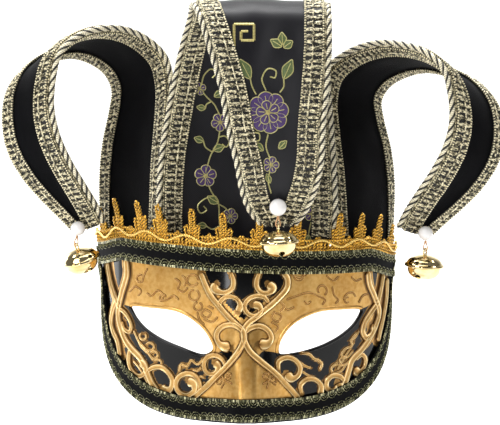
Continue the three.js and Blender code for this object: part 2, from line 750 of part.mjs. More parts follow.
// Centre of the seam at the origin, axis upright, the slot along X, the shank's ring on top.
function bellSolid() {
  const sides = 12;
  const profile = [];
  const add = (r, z) => profile.push(new THREE.Vector2(r, z));
  const seam = 0.55;
  add(0, -bellDown);
  for (const turn of [28, 54, 80]) {
    const angle = THREE.MathUtils.degToRad(turn);
    add(bellBody * Math.sin(angle), -bellDown * Math.cos(angle) - seam * (turn / 90));
  }
  add(bellFlange, -seam);
  add(bellFlange, seam);
  for (const turn of [76, 48, 22]) {
    const angle = THREE.MathUtils.degToRad(turn);
    add(bellBody * Math.sin(angle), bellUp * Math.cos(angle) + seam * (turn / 90));
  }
  add(0, bellUp);
  const outer = toSolid(indexed(new THREE.LatheGeometry(profile, sides).rotateX(Math.PI / 2)));
  const hollow = [new THREE.Vector2(0, -bellDown + bellWall)];
  for (const turn of [40, 90, 140]) {
    const angle = THREE.MathUtils.degToRad(turn);
    const deep = turn > 90 ? bellUp - bellWall : bellDown - bellWall;
    hollow.push(new THREE.Vector2((bellBody - bellWall) * Math.sin(angle), -deep * Math.cos(angle)));
  }
  hollow.push(new THREE.Vector2(0, bellUp - bellWall));
  const inner = toSolid(indexed(new THREE.LatheGeometry(hollow, sides).rotateX(Math.PI / 2)));
  const slot = new THREE.BoxGeometry(bellBody * 1.5, bellSlot, bellDown);
  slot.translate(0, 0, -bellDown);
  const ring = new THREE.TorusGeometry(shankRing, shankWire, 5, 8);
  ring.rotateX(Math.PI / 2);
  ring.translate(0, 0, bellUp + shankRing - shankWire * 0.6);
  return outer.subtract(inner).subtract(toSolid(indexed(slot))).add(toSolid(indexed(ring)));
}

// Materials and assembly

function finish(color, roughness, metalness) {
  return new THREE.MeshStandardMaterial({ color, roughness, metalness });
}

const finishes = {
  goldPaint: finish(0xcf9f58, 0.45, 0.4),
  blackBraid: finish(0x1c1e17, 0.8, 0.1),
  lace: finish(0xd0962c, 0.4, 0.7),
  velvet: finish(0x0d0d11, 0.95, 0),
  brocade: finish(0x17161c, 0.6, 0),
  silverBraid: finish(0xb8b193, 0.6, 0.3),
  twistCord: finish(0xd9d3c0, 0.6, 0.2),
  pearl: finish(0xf5f3f0, 0.25, 0),
  wire: finish(0xd9b86a, 0.3, 1),
  bell: finish(0xe3cf8c, 0.22, 1),
};

const mask = new THREE.Group();

function put(name, geometry, material) {
  const mesh = new THREE.Mesh(geometry, material);
  mesh.name = name;
  mask.add(mesh);
  return mesh;
}

// Shell with its scrolls, cleared for the braids, and the eye holes
const scrollsOnly = scrolls.map(scrollSolid).reduce((all, one) => all.add(one));
const places = browPlaces(24, faceHalf - browEndClear);
const browLow = (x) => browZ(x) - browBraidHalf;
const browHigh = (x) => browZ(x) + browBraidHalf;
const underBrow = (x) => browLow(x) - gap;
const overBrow = (x) => browHigh(x) + gap;
const browRoom = browStrip(places, underBrow, overBrow, gap * 0.5, trimRoom);
const rimRoom = rimBraidSolid(gap * 0.5, trimRoom, rimShares());
const raised = scrollsOnly.subtract(toSolid(browRoom)).subtract(toSolid(rimRoom));
const shell = shellSolid().add(raised).subtract(eyeSolid(leftEye)).subtract(eyeSolid(rightEye));
put('mask_shell', toGeometry(shell), finishes.goldPaint);

put('brow_braid', browStrip(places, browLow, browHigh, gap, gap + braidWall), finishes.blackBraid);
put('rim_braid', rimBraidSolid(0, braidWall, rimShares()), finishes.blackBraid);
put('crown_lace', laceGeometry(), finishes.lace);

// Horns with their braid and cord
const horns = [
  { name: 'left', stations: sideStations(-1, leftTop, leftReach, leftSpread), folds: 4 },
  { name: 'right', stations: sideStations(1, rightTop, rightReach, rightSpread), folds: 4 },
  { name: 'centre', stations: centreStations(), folds: 6 },
];
for (const horn of horns) {
  const { name, stations, folds } = horn;
  const frames = hornFrames(stations, hornSteps, folds);
  const cloth = name === 'centre' ? finishes.brocade : finishes.velvet;
  horn.frames = frames;
  const above = frames.filter(({ line }) => line.every((p) => p.z > topZ(p.x) + gap));
  put(`horn_${name}`, hornCloth(frames), cloth);
  put(`edge_braid_${name}_front`, edgeBraidGeometry(above, false), finishes.silverBraid);
  put(`edge_braid_${name}_back`, edgeBraidGeometry(above, true), finishes.silverBraid);
  put(`edge_cord_${name}_front`, edgeCordGeometry(above, false), finishes.twistCord);
  if (name === 'centre') put('edge_cord_centre_back', edgeCordGeometry(above, true), finishes.twistCord);
}

// A pearl sewn on each tip, the wire through it and the bell on the wire's loop. Up is how far
// above the end of the cloth it is sewn, part how far across from the front edge, and aside how
// much it is set sideways for each mm forwards. Swing turns the wire, lean the bell on it.
const drops = [
  { name: 'left', pearl: sidePearl, up: 1, part: 0.65, aside: 0.3, swing: 9, lean: -28, turn: 35 },
  { name: 'right', pearl: sidePearl, up: 1, part: 0.65, aside: 0.3, swing: 0, lean: 4, turn: -30 },
  { name: 'centre', pearl: centrePearl, up: 12, part: 0.5, aside: 0, swing: 0, lean: -3, turn: 10 },
];
const bell = toGeometry(bellSolid());
for (const { name, pearl, up, part, aside, swing, lean, turn } of drops) {
  const { frames } = horns.find((horn) => horn.name === name);
  const { point: seat, out } = onCloth(frames, up, part);
  const outwards = V(Math.sign(seat.x) * aside, -1, 0).normalize();
  const face = out.dot(outwards) < 0 ? out.negate() : out;
  const braid = name === 'centre' ? 0 : gap + edgeBraidSlack + edgeBraidWall;
  seat.addScaledVector(outwards, (clothWall / 2 + braid + gap + pearl / 2) / face.dot(outwards));
  const drop = new THREE.Group();
  drop.position.copy(seat);
  const meshes = [
    [`pearl_${name}`, pearlGeometry(pearl), finishes.pearl],
    [`wire_${name}`, toGeometry(wireSolid(pearl)), finishes.wire],
  ];
  for (const [label, geometry, material] of meshes) {
    const mesh = new THREE.Mesh(geometry, material);
    mesh.name = label;
    drop.add(mesh);
  }
  const hang = new THREE.Group();
  hang.position.set(0, 0, -pearl / 2 - wireDrop + wireRadius + gap + bellSwing);
  hang.rotation.set(0, THREE.MathUtils.degToRad(lean), 0);
  const body = new THREE.Mesh(bell, finishes.bell);
  body.name = `bell_${name}`;
  body.rotation.z = THREE.MathUtils.degToRad(90);
  body.position.z = -(bellUp + 2 * shankRing - shankWire * 0.6 - shankWire);
  hang.add(body);
  drop.add(hang);
  drop.rotation.set(0, THREE.MathUtils.degToRad(swing), THREE.MathUtils.degToRad(turn), 'ZYX');
  mask.add(drop);
}

export default mask;
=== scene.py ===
"""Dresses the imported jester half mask: painted shell, scrolls, braids, metal lace, horns and bells.

Sizes in this file are millimetres in the frame of the CAD model: +X across to the viewer's right,
+Y towards the wearer, +Z up, with the origin inside the bridge of the nose. They turn into metres
where a mesh is made.
"""

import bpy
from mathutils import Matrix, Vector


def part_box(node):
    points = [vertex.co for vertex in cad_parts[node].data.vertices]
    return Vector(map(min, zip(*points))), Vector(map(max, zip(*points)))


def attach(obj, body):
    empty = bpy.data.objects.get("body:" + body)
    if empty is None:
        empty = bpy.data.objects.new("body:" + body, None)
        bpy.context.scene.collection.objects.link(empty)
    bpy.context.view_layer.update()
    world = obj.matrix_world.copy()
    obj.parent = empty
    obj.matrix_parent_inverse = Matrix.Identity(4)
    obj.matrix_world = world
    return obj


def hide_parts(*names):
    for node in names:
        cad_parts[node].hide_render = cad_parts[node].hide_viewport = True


bl_info = {
    "name": "Jester half mask",
    "version": (1, 0, 0),
    "blender": (4, 5, 0),
    "location": "View3D > Sidebar > Jester mask",
    "description": "Painted shell, scrolls, braids, metal lace, cloth horns, pearls and bells",
    "category": "Object",
}

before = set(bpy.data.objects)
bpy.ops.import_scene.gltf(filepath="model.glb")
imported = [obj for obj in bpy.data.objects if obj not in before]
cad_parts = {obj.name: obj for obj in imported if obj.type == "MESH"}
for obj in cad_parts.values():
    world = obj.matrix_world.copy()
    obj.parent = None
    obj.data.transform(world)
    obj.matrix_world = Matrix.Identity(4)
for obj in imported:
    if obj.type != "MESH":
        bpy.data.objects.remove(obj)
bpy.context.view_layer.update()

import bisect
import math
import random

import bmesh
import bpy
from bpy.props import FloatProperty, FloatVectorProperty, IntProperty, PointerProperty
from mathutils import Matrix, Vector, kdtree, noise

MM = 0.001
# Bands of a wave texture in one unit at scale 1
WAVES = 3.18
# From bump to bump of the gold bullion
BULLION_TURN = 1.9

# Shell, as in the CAD model
SHELL_WALL = 2.0
FACE_HALF = 89.0
CHEEK_IN = 5.0
FACE_DROP = 69.5
FACE_WRAP = 92.0
PLAN_HALF = FACE_HALF + 2.2
CHEEK_SQUARE = 3.5
UPRIGHT_RADIUS = 400.0
BROW_HEIGHT = 22.3
BROW_SLANT = 0.045
BROW_END_DROP = 6.5
BROW_MARGIN = 9.0
NOSE_TOP = -2.0
NOSE_REACH = 15.0
NOSE_LIFT = 2.5
NOSE_FLAT = 3.5
NOSE_HALF = (10.0, 27.0)
BRAID_HALF = 6.0
CLOTH_WALL = 2.0
GAP = 0.3

# Sections of a side horn: reach and height of the front and the back edge, half width and crown
SIDE_ROWS = [
    (0, 14, 0, 14, 100, 100), (-3, 32, 2, 30, 100, 100), (-8, 50, 4, 44, 92, 90),
    (-14, 65, 3, 56, 84, 80), (-18, 79, -2, 69, 76, 60), (-13, 89, -3, 77, 72, 40),
    (4, 96, 6, 84, 68, 30), (27, 100, 24, 89, 65, 30), (50, 100, 44, 91, 63, 30),
    (71, 97, 67, 89, 61, 30), (86, 91, 89, 84, 58, 20), (92, 82, 103, 76, 55, 0),
    (93, 71, 107, 66, 52, -20), (87, 61, 104, 56, 48, -30), (75, 51, 92, 46, 43, -30),
    (61, 42, 77, 38, 38, -20), (48, 34, 62, 31, 31, -10), (38, 27, 48, 24, 21, 0),
]
# Sections of the middle horn: reach, height, left edge, right edge and crown
CENTRE_ROWS = [
    (0, 13, -98, 98, 100), (0, 30, -98, 100, 93), (-6, 44, -96, 98, 73), (-12, 57, -90, 95, 53),
    (-14, 71, -81, 91, 33), (-8, 85, -70, 88, 20), (12, 95, -60, 87, 13), (47, 100, -55, 87, 10),
    (82, 97, -47, 87, 0), (98, 87, -35, 87, -13), (100, 73, -21, 84, -17), (100, 60, -13, 80, -17),
    (96, 48, -3, 78, -13), (86, 39, 3, 71, -10), (73, 32, 12, 61, -7), (61, 27, 25, 49, 0),
]
HORNS = {
    "left": {"side": -1, "top": 152.0, "reach": 71.0, "spread": 0.0},
    "right": {"side": 1, "top": 143.0, "reach": 78.0, "spread": 4.0},
    "centre": {"side": 0, "top": 167.0, "reach": 51.0, "half": 47.5, "crown": 15.0},
}
# Rows of points along a horn's cloth, and folds across it
CLOTH_ROWS = 170
CLOTH_FOLDS = 24
CENTRE_SET_BACK = 2.3
SIDE_SET_BACK = 4.5
SIDE_INSET = 0.5
SIDE_INNER = 57.0
SIDE_OUTER = 87.5
SIDE_CROWN = 3.6
EDGE_BRAID = 9.0

# Points of the lace: across in percent of the shell's half width, tall in percent
LACE_POINTS = [
    (-93, 92), (-82, 108), (-67, 106), (-54, 103), (-34, 100), (-14, 95),
    (8, 92), (32, 98), (58, 100), (72, 98), (84, 96), (94, 84),
]
LACE_HEIGHT = 22.0

# The drawing of the eyes and scrolls has its own units, with X to the right and Y downwards. These
# are its point at the bridge of the nose, half its width there, and its height above and below.
DRAWN_X = 246.5
DRAWN_Y = 300
DRAWN_HALF = 151
DRAWN_ABOVE = 53
DRAWN_BELOW = 123
# The drawing's view: how far it looks down, from how far off, and one unit of it in millimetres
TILT = math.radians(8)
VIEW_AWAY = 1200
VIEW_UNIT = 0.568
LEFT_EYE = [
    (131.5, 305.5), (151.5, 306), (180.5, 310.5), (199.5, 322), (210.5, 335), (215.5, 350),
    (206.5, 356.5), (180.5, 348.5), (159.5, 339), (144.5, 328), (134.5, 315),
]
RIGHT_EYE = [
    (360.5, 309), (339.5, 308), (316.5, 310.5), (294.5, 320.5), (283, 332), (276.5, 346),
    (277.5, 355.5), (294.5, 355), (322.5, 346.5), (342.5, 335), (355.5, 322),
]


def ring(x, y, radius, start, end, shrink=1.0):
    """Points round a centre, from one angle to another in degrees, anticlockwise as seen."""
    steps = max(4, int(abs(end - start) / 24))
    points = []
    for k in range(steps + 1):
        share = k / steps
        turn = math.radians(start + (end - start) * share)
        here = radius * (1 + (shrink - 1) * share)
        points.append((x + here * math.cos(turn), y - here * math.sin(turn)))
    return points


# Raised scrolls: width at the middle, how much the far end swells, and the line
SCROLLS = [
    (6.2, 1.0, [(203, 274), (211, 293), (219, 304), (227, 314), (236, 323.5), (243, 331), (244.5, 338),
                (241, 348), (235, 358), (226, 369), (213, 382), (196, 398)]),
    (6.2, 1.0, [(281, 273), (285.5, 279), (285, 288.5), (278, 297), (271, 304), (264, 310), (256, 317),
                (248.5, 323.5), (244, 331), (244.5, 340), (249, 350), (259, 361), (270, 370.5),
                (280, 380), (290, 391), (297, 400)]),
    (5.6, 1.5, [(243, 331), (234, 325), (224.5, 326), (218.5, 332), (218.5, 340), (224, 346), (231, 347.5)]),
    (5.6, 1.5, [(245, 333), (251.5, 327.5), (259.5, 326), (267.5, 331), (270, 338.5), (265.5, 344),
                (258.5, 344.5)]),
    (5.0, 1.3, [(222.5, 308), (221, 303), (225, 298), (231, 296.5), (237.5, 299), (240.5, 305),
                (238.5, 312)]),
    (5.0, 1.4, [(268, 303), (264, 297.5), (256.5, 295.8), (248.5, 299), (244.6, 306), (247.5, 313),
                (254.5, 316), (260, 311.5), (258, 305.5), (252.5, 304.5)]),
    (5.6, 1.4, [(231.5, 273), (234, 281), (233, 288.5), (227.5, 292.5), (220.5, 292), (216, 288.5),
                (218, 284.5)]),
    (5.6, 1.4, [(259, 273), (256.3, 281), (256.5, 287.5), (260.5, 292.5), (267, 293), (271.5, 288.5),
                (267, 284.5)]),
    (4.8, 1.5, [(228, 368), (224, 359.5), (216, 355.3), (208, 358.5), (205.8, 366), (209.5, 373.5),
                (217, 373.5), (220.3, 367.5), (216, 363)]),
    (5.6, 1.5, [(202, 392), (201, 383), (196.5, 376), (189, 374), (181, 378), (178.3, 386.5), (182, 394),
                (189, 396.5), (196, 391.5), (195.5, 384.5), (189.5, 382)]),
    (7.6, 1.0, [(129, 260), (129.5, 275), (124.5, 292), (121, 306), (120.2, 315), (123, 329), (127.5, 340.5),
                (134.5, 350.5), (143, 359.5), (149, 372), (154.5, 385), (162, 397)]),
    (6.6, 1.0, [(108.5, 262), (112.5, 282), (117.5, 297), (122, 309)]),
    (6.0, 1.0, [(119, 300), (114.5, 310), (112.5, 322), (115, 333.5), (119, 342), (121.8, 358)]),
    (4.2, 1.0, [(121, 308), (126.5, 312), (131.5, 319), (134.2, 327), (132, 332.5), (127, 330), (124, 322)]),
    (4.8, 1.6, [(133, 349), (130.8, 361), (133.5, 371.5), (140.5, 378), (147, 375), (147.8, 367.5),
                (142.5, 363.5)]),
    (5.6, 1.7, [(150, 373), (155, 369), (163, 368), (170.5, 373), (175, 381.5), (173, 390), (167, 392.5),
                (162.5, 389)]),
    (7.2, 1.0, [(365.5, 272), (367, 284), (373, 298), (377.5, 312), (374, 326), (368, 338), (359.5, 350.5),
                (349.5, 361.5), (346, 373), (342, 386), (335.5, 398)]),
    (6.2, 1.0, [(382, 274), (379.5, 288), (375.5, 302.5), (368, 313.5), (362, 323.5), (360.3, 333),
                (364.5, 339),
                (370, 334), (371.5, 325)]),
    (6.0, 1.0, [(386.5, 278), (385.5, 298), (382.5, 316), (379.5, 329), (376.5, 343)]),
    (4.6, 1.6, [(353, 361), (359.5, 356), (363.3, 361), (361.5, 369.5), (356.5, 374.5), (352, 371)]),
    (5.6, 1.6, [(343, 384), (337.5, 378), (330.5, 376.8), (324.5, 382), (324.3, 389), (330, 393),
                (336.5, 390.5), (336, 385)]),
    (5.2, 1.2, [(299.5, 395), (298.5, 386), (304.5, 380), (313, 380.5), (318.5, 386.5), (318, 396)]),
    (5.2, 1.5, [(276.5, 371), (277, 362), (284, 357.8), (292.5, 359.8), (298, 367.5), (296, 376),
                (289.5, 379), (285, 374)]),
]

# Low thin lines, modelled with a finer nozzle
THIN_LINES = [
    (2.6, [(136, 331), (141, 342), (148, 350), (156, 361)]),
    (2.4, ring(152.5, 347.5, 4.0, 200, 520)), (2.4, ring(156.5, 356, 3.8, 200, 520)),
    (2.4, ring(160.5, 364, 3.4, 200, 520)), (2.2, ring(145.5, 337, 3.4, 120, 420)),
    (2.2, [(139, 337), (143, 347), (150, 354)]), (2.4, [(135, 362), (141, 369), (148, 381), (152, 390)]),
    (2.4, [(137, 377), (143, 385), (151, 393)]),
    (2.4, [(181.5, 373), (183.5, 365), (189, 366.5), (193.5, 360.8), (199, 364.8), (205, 359.5)]),
    (2.4, [(194, 370), (199.5, 371), (203, 367.5)]), (2.2, [(198, 379), (203, 377), (206, 379)]),
    (2.8, [(299, 353.6), (307.5, 355), (312, 359.5), (316, 361), (319.5, 365), (317.5, 371)]),
    (2.4, [(297, 362), (303, 366.5), (309, 369)]), (2.4, [(300, 372), (307, 376.5), (313, 378)]),
    (2.4, [(355, 333), (349, 340.5), (349, 346.5), (342, 350.5), (339, 356.5), (345, 358), (351, 352)]),
    (2.4, [(336, 363), (329, 369.5), (330.5, 374), (339, 372), (345, 363.5)]),
    (2.4, ring(341.5, 362.5, 4.2, 40, 360)), (2.2, [(352, 343), (343, 357), (335, 371)]),
    (2.2, [(331, 366), (341, 366), (348, 362)]), (2.2, [(357, 331), (353, 338), (347, 342)]),
]

# Fine relief on the gold ground
GROUND_LINES = [
    ring(194.5, 281, 5.4, 0, 340), ring(196, 295.5, 5.0, 90, 430), ring(199.5, 306.5, 4.0, 90, 430),
    [(177, 279), (182, 283.5), (180, 289), (185, 292), (190, 288)], [(184, 276), (188, 281), (186, 287)],
    [(154, 296), (160, 291), (166, 296), (163, 301), (170, 299), (176, 296), (181, 300)],
    ring(165, 297.5, 3.0, 0, 300), [(149, 293), (153, 296), (157, 293)],
    [(131, 292), (137, 287), (143, 291), (140, 296)], ring(142, 279, 3.4, 20, 300),
    [(144, 283), (147, 274), (150, 269)],
    [(205, 309), (212, 313), (208, 318), (203, 314), (206, 309)], [(205, 319), (213, 322), (219, 317)],
    [(199, 312), (201, 320), (206, 325)], [(209, 306), (215, 309)],
    [(290, 275), (297, 279), (305, 275)], ring(297, 276.5, 4.6, 180, 400),
    [(272, 312), (280, 316), (277, 322), (271, 318), (274, 311)], [(281, 303), (286, 310), (293, 307)],
    [(276, 300), (283, 306), (279, 312)], [(270, 322), (277, 327), (274, 333)],
    [(285, 300), (296, 296), (307, 293), (316, 296), (323, 300), (320, 305)],
    ring(319.5, 290.5, 5.6, -60, 230, 0.6),
    [(302, 301), (306, 304), (309, 301)], [(330, 287), (332, 295), (336, 300), (333, 304)],
    [(341, 300), (345, 294), (351, 293), (354, 297)], ring(345, 300, 2.6, 60, 320),
    [(357, 303), (361, 296), (367, 294)], [(324, 276), (331, 281), (337, 277)],
    [(349, 277), (354, 281), (360, 279)],
    [(221, 384), (226, 379), (232, 373)], [(218, 377), (224, 380), (233, 384)],
    [(222, 373), (225, 381), (222, 389)],
    ring(229.5, 376.5, 2.6, 0, 320), ring(219.5, 382, 2.6, 90, 420),
    [(262, 376), (268, 380), (275, 386)], [(262, 385), (268, 380), (273, 373)],
    [(268, 372), (268.5, 380), (266, 389)],
    ring(265, 376.5, 2.4, 0, 320), ring(273, 381, 2.4, 90, 420),
]

# Where the shell is painted gold, and the black panel over the nose, in the drawing's units
GOLD_GROUND = [
    (128, 240), (128, 278), (124, 293), (122, 304), (131, 306), (165, 330), (205, 348), (213, 353.5),
    (228, 350.5), (237, 354), (228, 369), (214, 383), (196, 399), (190, 420), (305, 420), (297, 400),
    (290, 391), (280, 380), (268, 370), (256, 357), (263, 350.5), (279, 354), (292, 345), (330, 330),
    (360, 309), (372, 304), (372, 298), (366, 283), (365, 240),
]
BLACK_PANEL = [
    (206, 262), (207, 276), (214, 289), (222, 298), (230, 307), (237, 315), (244, 319.5), (252, 313),
    (262, 304), (272, 297), (280, 290), (283, 282), (280, 262),
]


def linear(code):
    """An sRGB hex colour as linear red, green, blue and alpha."""
    parts = [int(code[k:k + 2], 16) / 255 for k in (1, 3, 5)]
    return tuple(p / 12.92 if p <= 0.04045 else ((p + 0.055) / 1.055) ** 2.4 for p in parts) + (1.0,)


def mix(low, high, share):
    return low + (high - low) * share


def step(low, high, value):
    """0 below low, 1 above high and smooth between."""
    share = min(max((value - low) / (high - low), 0.0), 1.0)
    return share * share * (3 - 2 * share)


def through(points, share):
    """A point of the centripetal curve through some points, at a share of their count."""
    last = len(points) - 1
    spot = min(max(share, 0.0), 1.0) * last
    k = min(int(spot), last - 1)
    part = spot - k
    here, there = points[k], points[k + 1]
    before = points[k - 1] if k > 0 else here * 2 - there
    after = points[k + 2] if k + 2 <= last else there * 2 - here
    first = max((here - before).length ** 0.5, 1e-4)
    middle = max((there - here).length ** 0.5, 1e-4)
    final = max((after - there).length ** 0.5, 1e-4)
    leave = (here - before) / first - (there - before) / (first + middle) + (there - here) / middle
    reach = (there - here) / middle - (after - here) / (middle + final) + (after - there) / final
    leave, reach = leave * middle, reach * middle
    cubic = here * 2 - there * 2 + leave + reach
    square = there * 3 - here * 3 - leave * 2 - reach
    return here + leave * part + square * part ** 2 + cubic * part ** 3


def run_lengths(points):
    """Length along a run of points, up to each."""
    found = [0.0]
    for a, b in zip(points, points[1:]):
        found.append(found[-1] + (b - a).length)
    return found


def place_in(lengths, wanted):
    """The span of a run that holds a length, and the share of that span."""
    k = bisect.bisect_left(lengths, wanted, 1, len(lengths) - 1) - 1
    return k, (wanted - lengths[k]) / max(lengths[k + 1] - lengths[k], 1e-9)


def flat(line):
    """Points of the drawing as vectors."""
    return [Vector((spot[0], spot[1], 0)) for spot in line]


def evenly(points, spacing, closed=False):
    """Points at even distances along a smooth curve through some points."""
    if closed:
        points = points[-2:] + points + points[:3]
    count = (len(points) - 1) * 16
    dense = [through(points, k / count) for k in range(count + 1)]
    if closed:
        dense = dense[32:count + 1 - 32]
    lengths = run_lengths(dense)
    steps = max(2, round(lengths[-1] / spacing))
    found = []
    for j in range(steps + (0 if closed else 1)):
        k, part = place_in(lengths, lengths[-1] * j / steps)
        found.append(dense[k].lerp(dense[k + 1], part))
    return found


# The face

def nose_y(x, z):
    down = min(max((NOSE_TOP - z) / (NOSE_TOP + FACE_DROP), 0.0), 1.0)
    half = mix(NOSE_HALF[0], NOSE_HALF[1], down)
    return NOSE_REACH * step(0, 1, down) * (1 - step(NOSE_FLAT, half, abs(x)))


def face_y(x, z):
    share = min(abs(x) / PLAN_HALF, 0.995)
    plan = FACE_WRAP * (1 - math.sqrt(1 - share * share))
    return plan + z * z / (2 * UPRIGHT_RADIUS) - nose_y(x, z) - SHELL_WALL


def face_out(x, z):
    """The way out of the face at a place."""
    near = 0.05
    slope_x = (face_y(x + near, z) - face_y(x - near, z)) / (2 * near)
    slope_z = (face_y(x, z + near) - face_y(x, z - near)) / (2 * near)
    return Vector((slope_x, -1.0, slope_z)).normalized()


def on_face(x, z, out):
    return Vector((x, face_y(x, z), z)) + face_out(x, z) * out


def brow_z(x):
    return BROW_HEIGHT - BROW_SLANT * x - BROW_END_DROP * step(FACE_HALF * 0.78, FACE_HALF, abs(x))


def top_z(x):
    return brow_z(x) + BROW_MARGIN


def rim_line(side):
    """The rim's half from the bottom to the temple, as (x, z) and the length up to each."""
    rise = top_z(side * FACE_HALF)
    points = []
    for k in range(161):
        turn = k / 160 * math.pi / 2
        x = (FACE_HALF - CHEEK_IN) * math.sin(turn) ** (2 / CHEEK_SQUARE)
        lift = NOSE_LIFT * (1 - step(NOSE_FLAT, NOSE_HALF[1], x))
        points.append(Vector((x, lift - FACE_DROP * math.cos(turn) ** (2 / CHEEK_SQUARE))))
    for k in range(1, 31):
        points.append(Vector((FACE_HALF - CHEEK_IN * (1 - step(0, 1, k / 30)), rise * k / 30)))
    return points, run_lengths(points)


RIM = {side: rim_line(side) for side in (-1, 1)}


def rim_point(share):
    """(x, z) at a share of the way from the bottom to the temple, below 0 on the left."""
    side = -1 if share < 0 else 1
    points, lengths = RIM[side]
    k, part = place_in(lengths, min(abs(share), 1.0) * lengths[-1])
    spot = points[k].lerp(points[k + 1], min(part, 1.0))
    return side * spot.x, spot.y


def top_point(share):
    x = FACE_HALF * math.sin(share * math.pi / 2)
    return x, top_z(x)


def drawn_xh(spot):
    """A point of the drawing in millimetres on its leaning plane."""
    across, up = spot[0] - DRAWN_X, DRAWN_Y - spot[1]
    high = up / DRAWN_ABOVE * (BROW_HEIGHT + BROW_MARGIN) if up > 0 else up / DRAWN_BELOW * FACE_DROP
    return across / DRAWN_HALF * FACE_HALF, high


def drawn_at(spot):
    """The place on the face, x and z, of a point of the drawing."""
    x, high = drawn_xh(spot)
    z = high
    for _ in range(8):
        z = (high - face_y(x, z) * math.sin(TILT)) / math.cos(TILT)
    return x, z


def drawn_from(point):
    """The drawing's point over a place in space."""
    high = point.z * math.cos(TILT) + point.y * math.sin(TILT)
    up = high / (BROW_HEIGHT + BROW_MARGIN) * DRAWN_ABOVE if high > 0 else high / FACE_DROP * DRAWN_BELOW
    return point.x / FACE_HALF * DRAWN_HALF + DRAWN_X, DRAWN_Y - up


# The horns

def horn_start(x, set_back):
    return on_face(x, brow_z(x), -(SHELL_WALL + GAP + set_back + CLOTH_WALL / 2))


def horn_stations(name):
    """Front edge, back edge and crown of each section of a horn."""
    horn = HORNS[name]
    if name == "centre":
        start = horn_start(horn["half"], CENTRE_SET_BACK).y
        found = []
        for reach, height, left, right, crown in CENTRE_ROWS:
            y, z = start - reach / 100 * horn["reach"], height / 100 * horn["top"]
            edges = [Vector((share / 100 * horn["half"], y, z)) for share in (right, left)]
            found.append((edges[0], edges[1], horn["crown"] * crown / 100))
        return found
    side = horn["side"]
    inner, outer = horn_start(side * SIDE_INNER, SIDE_SET_BACK), horn_start(side * SIDE_OUTER, SIDE_INSET)
    centre, across = (inner + outer) / 2, inner - outer
    centre.z = across.z = 0
    half = across.length / 2
    across.normalize()
    out = Vector((across.y, -across.x, 0))
    if out.x * side < 0:
        out.negate()
    found = []
    for k, (fr, fh, br, bh, width, crown) in enumerate(SIDE_ROWS):
        past = max(0.0, (k - 10) / (len(SIDE_ROWS) - 11)) * horn["spread"]
        edges = []
        for reach, height, way in ((fr, fh, 1), (br, bh, -1)):
            edge = centre + out * (reach / 100 * horn["reach"] + past) + across * (way * half * width / 100)
            edge.z = height / 100 * horn["top"]
            edges.append(edge)
        found.append((edges[0], edges[1], SIDE_CROWN * crown / 100))
    return found


class Section:
    """One section of a horn: the way along, the way out, and its line from front to back."""

    def __init__(self, along, out, line):
        self.along, self.out, self.line = along, out, line

    def edge(self, at_back):
        """The edge, the way off the cloth there, the way out of its face and the strip's width."""
        spot = self.line[-1] if at_back else self.line[0]
        inside = self.line[-2] if at_back else self.line[1]
        off = (spot - inside).normalized()
        face = off.cross(self.along).normalized()
        return spot, off, face, (self.line[-1] - self.line[0]).length


def horn_sections(name, count, folds):
    stations = horn_stations(name)
    fronts, backs = [s[0] for s in stations], [s[1] for s in stations]
    crowns = [Vector((0.0, s[2], 0.0)) for s in stations]
    found = []
    for k in range(count + 1):
        share = k / count
        a, b = through(fronts, share), through(backs, share)
        ahead, behind = min(share + 1e-4, 1.0), max(share - 1e-4, 0.0)
        along = (through(fronts, ahead) - through(fronts, behind)).normalized()
        along = (along + (through(backs, ahead) - through(backs, behind)).normalized()).normalized()
        out = (b - a).normalized().cross(along).normalized()
        spot = share * (len(crowns) - 1)
        low = min(int(spot), len(crowns) - 2)
        crown = mix(crowns[low].y, crowns[low + 1].y, spot - low)
        line = [a.lerp(b, j / folds) + out * (4 * crown * (j / folds) * (1 - j / folds))
                for j in range(folds + 1)]
        found.append(Section(along, out, line))
    return found


def free_sections(name, count):
    """The sections of a horn that stand clear above the shell."""
    return [s for s in horn_sections(name, count, 12) if all(p.z > top_z(p.x) + GAP for p in s.line)]


# Making meshes

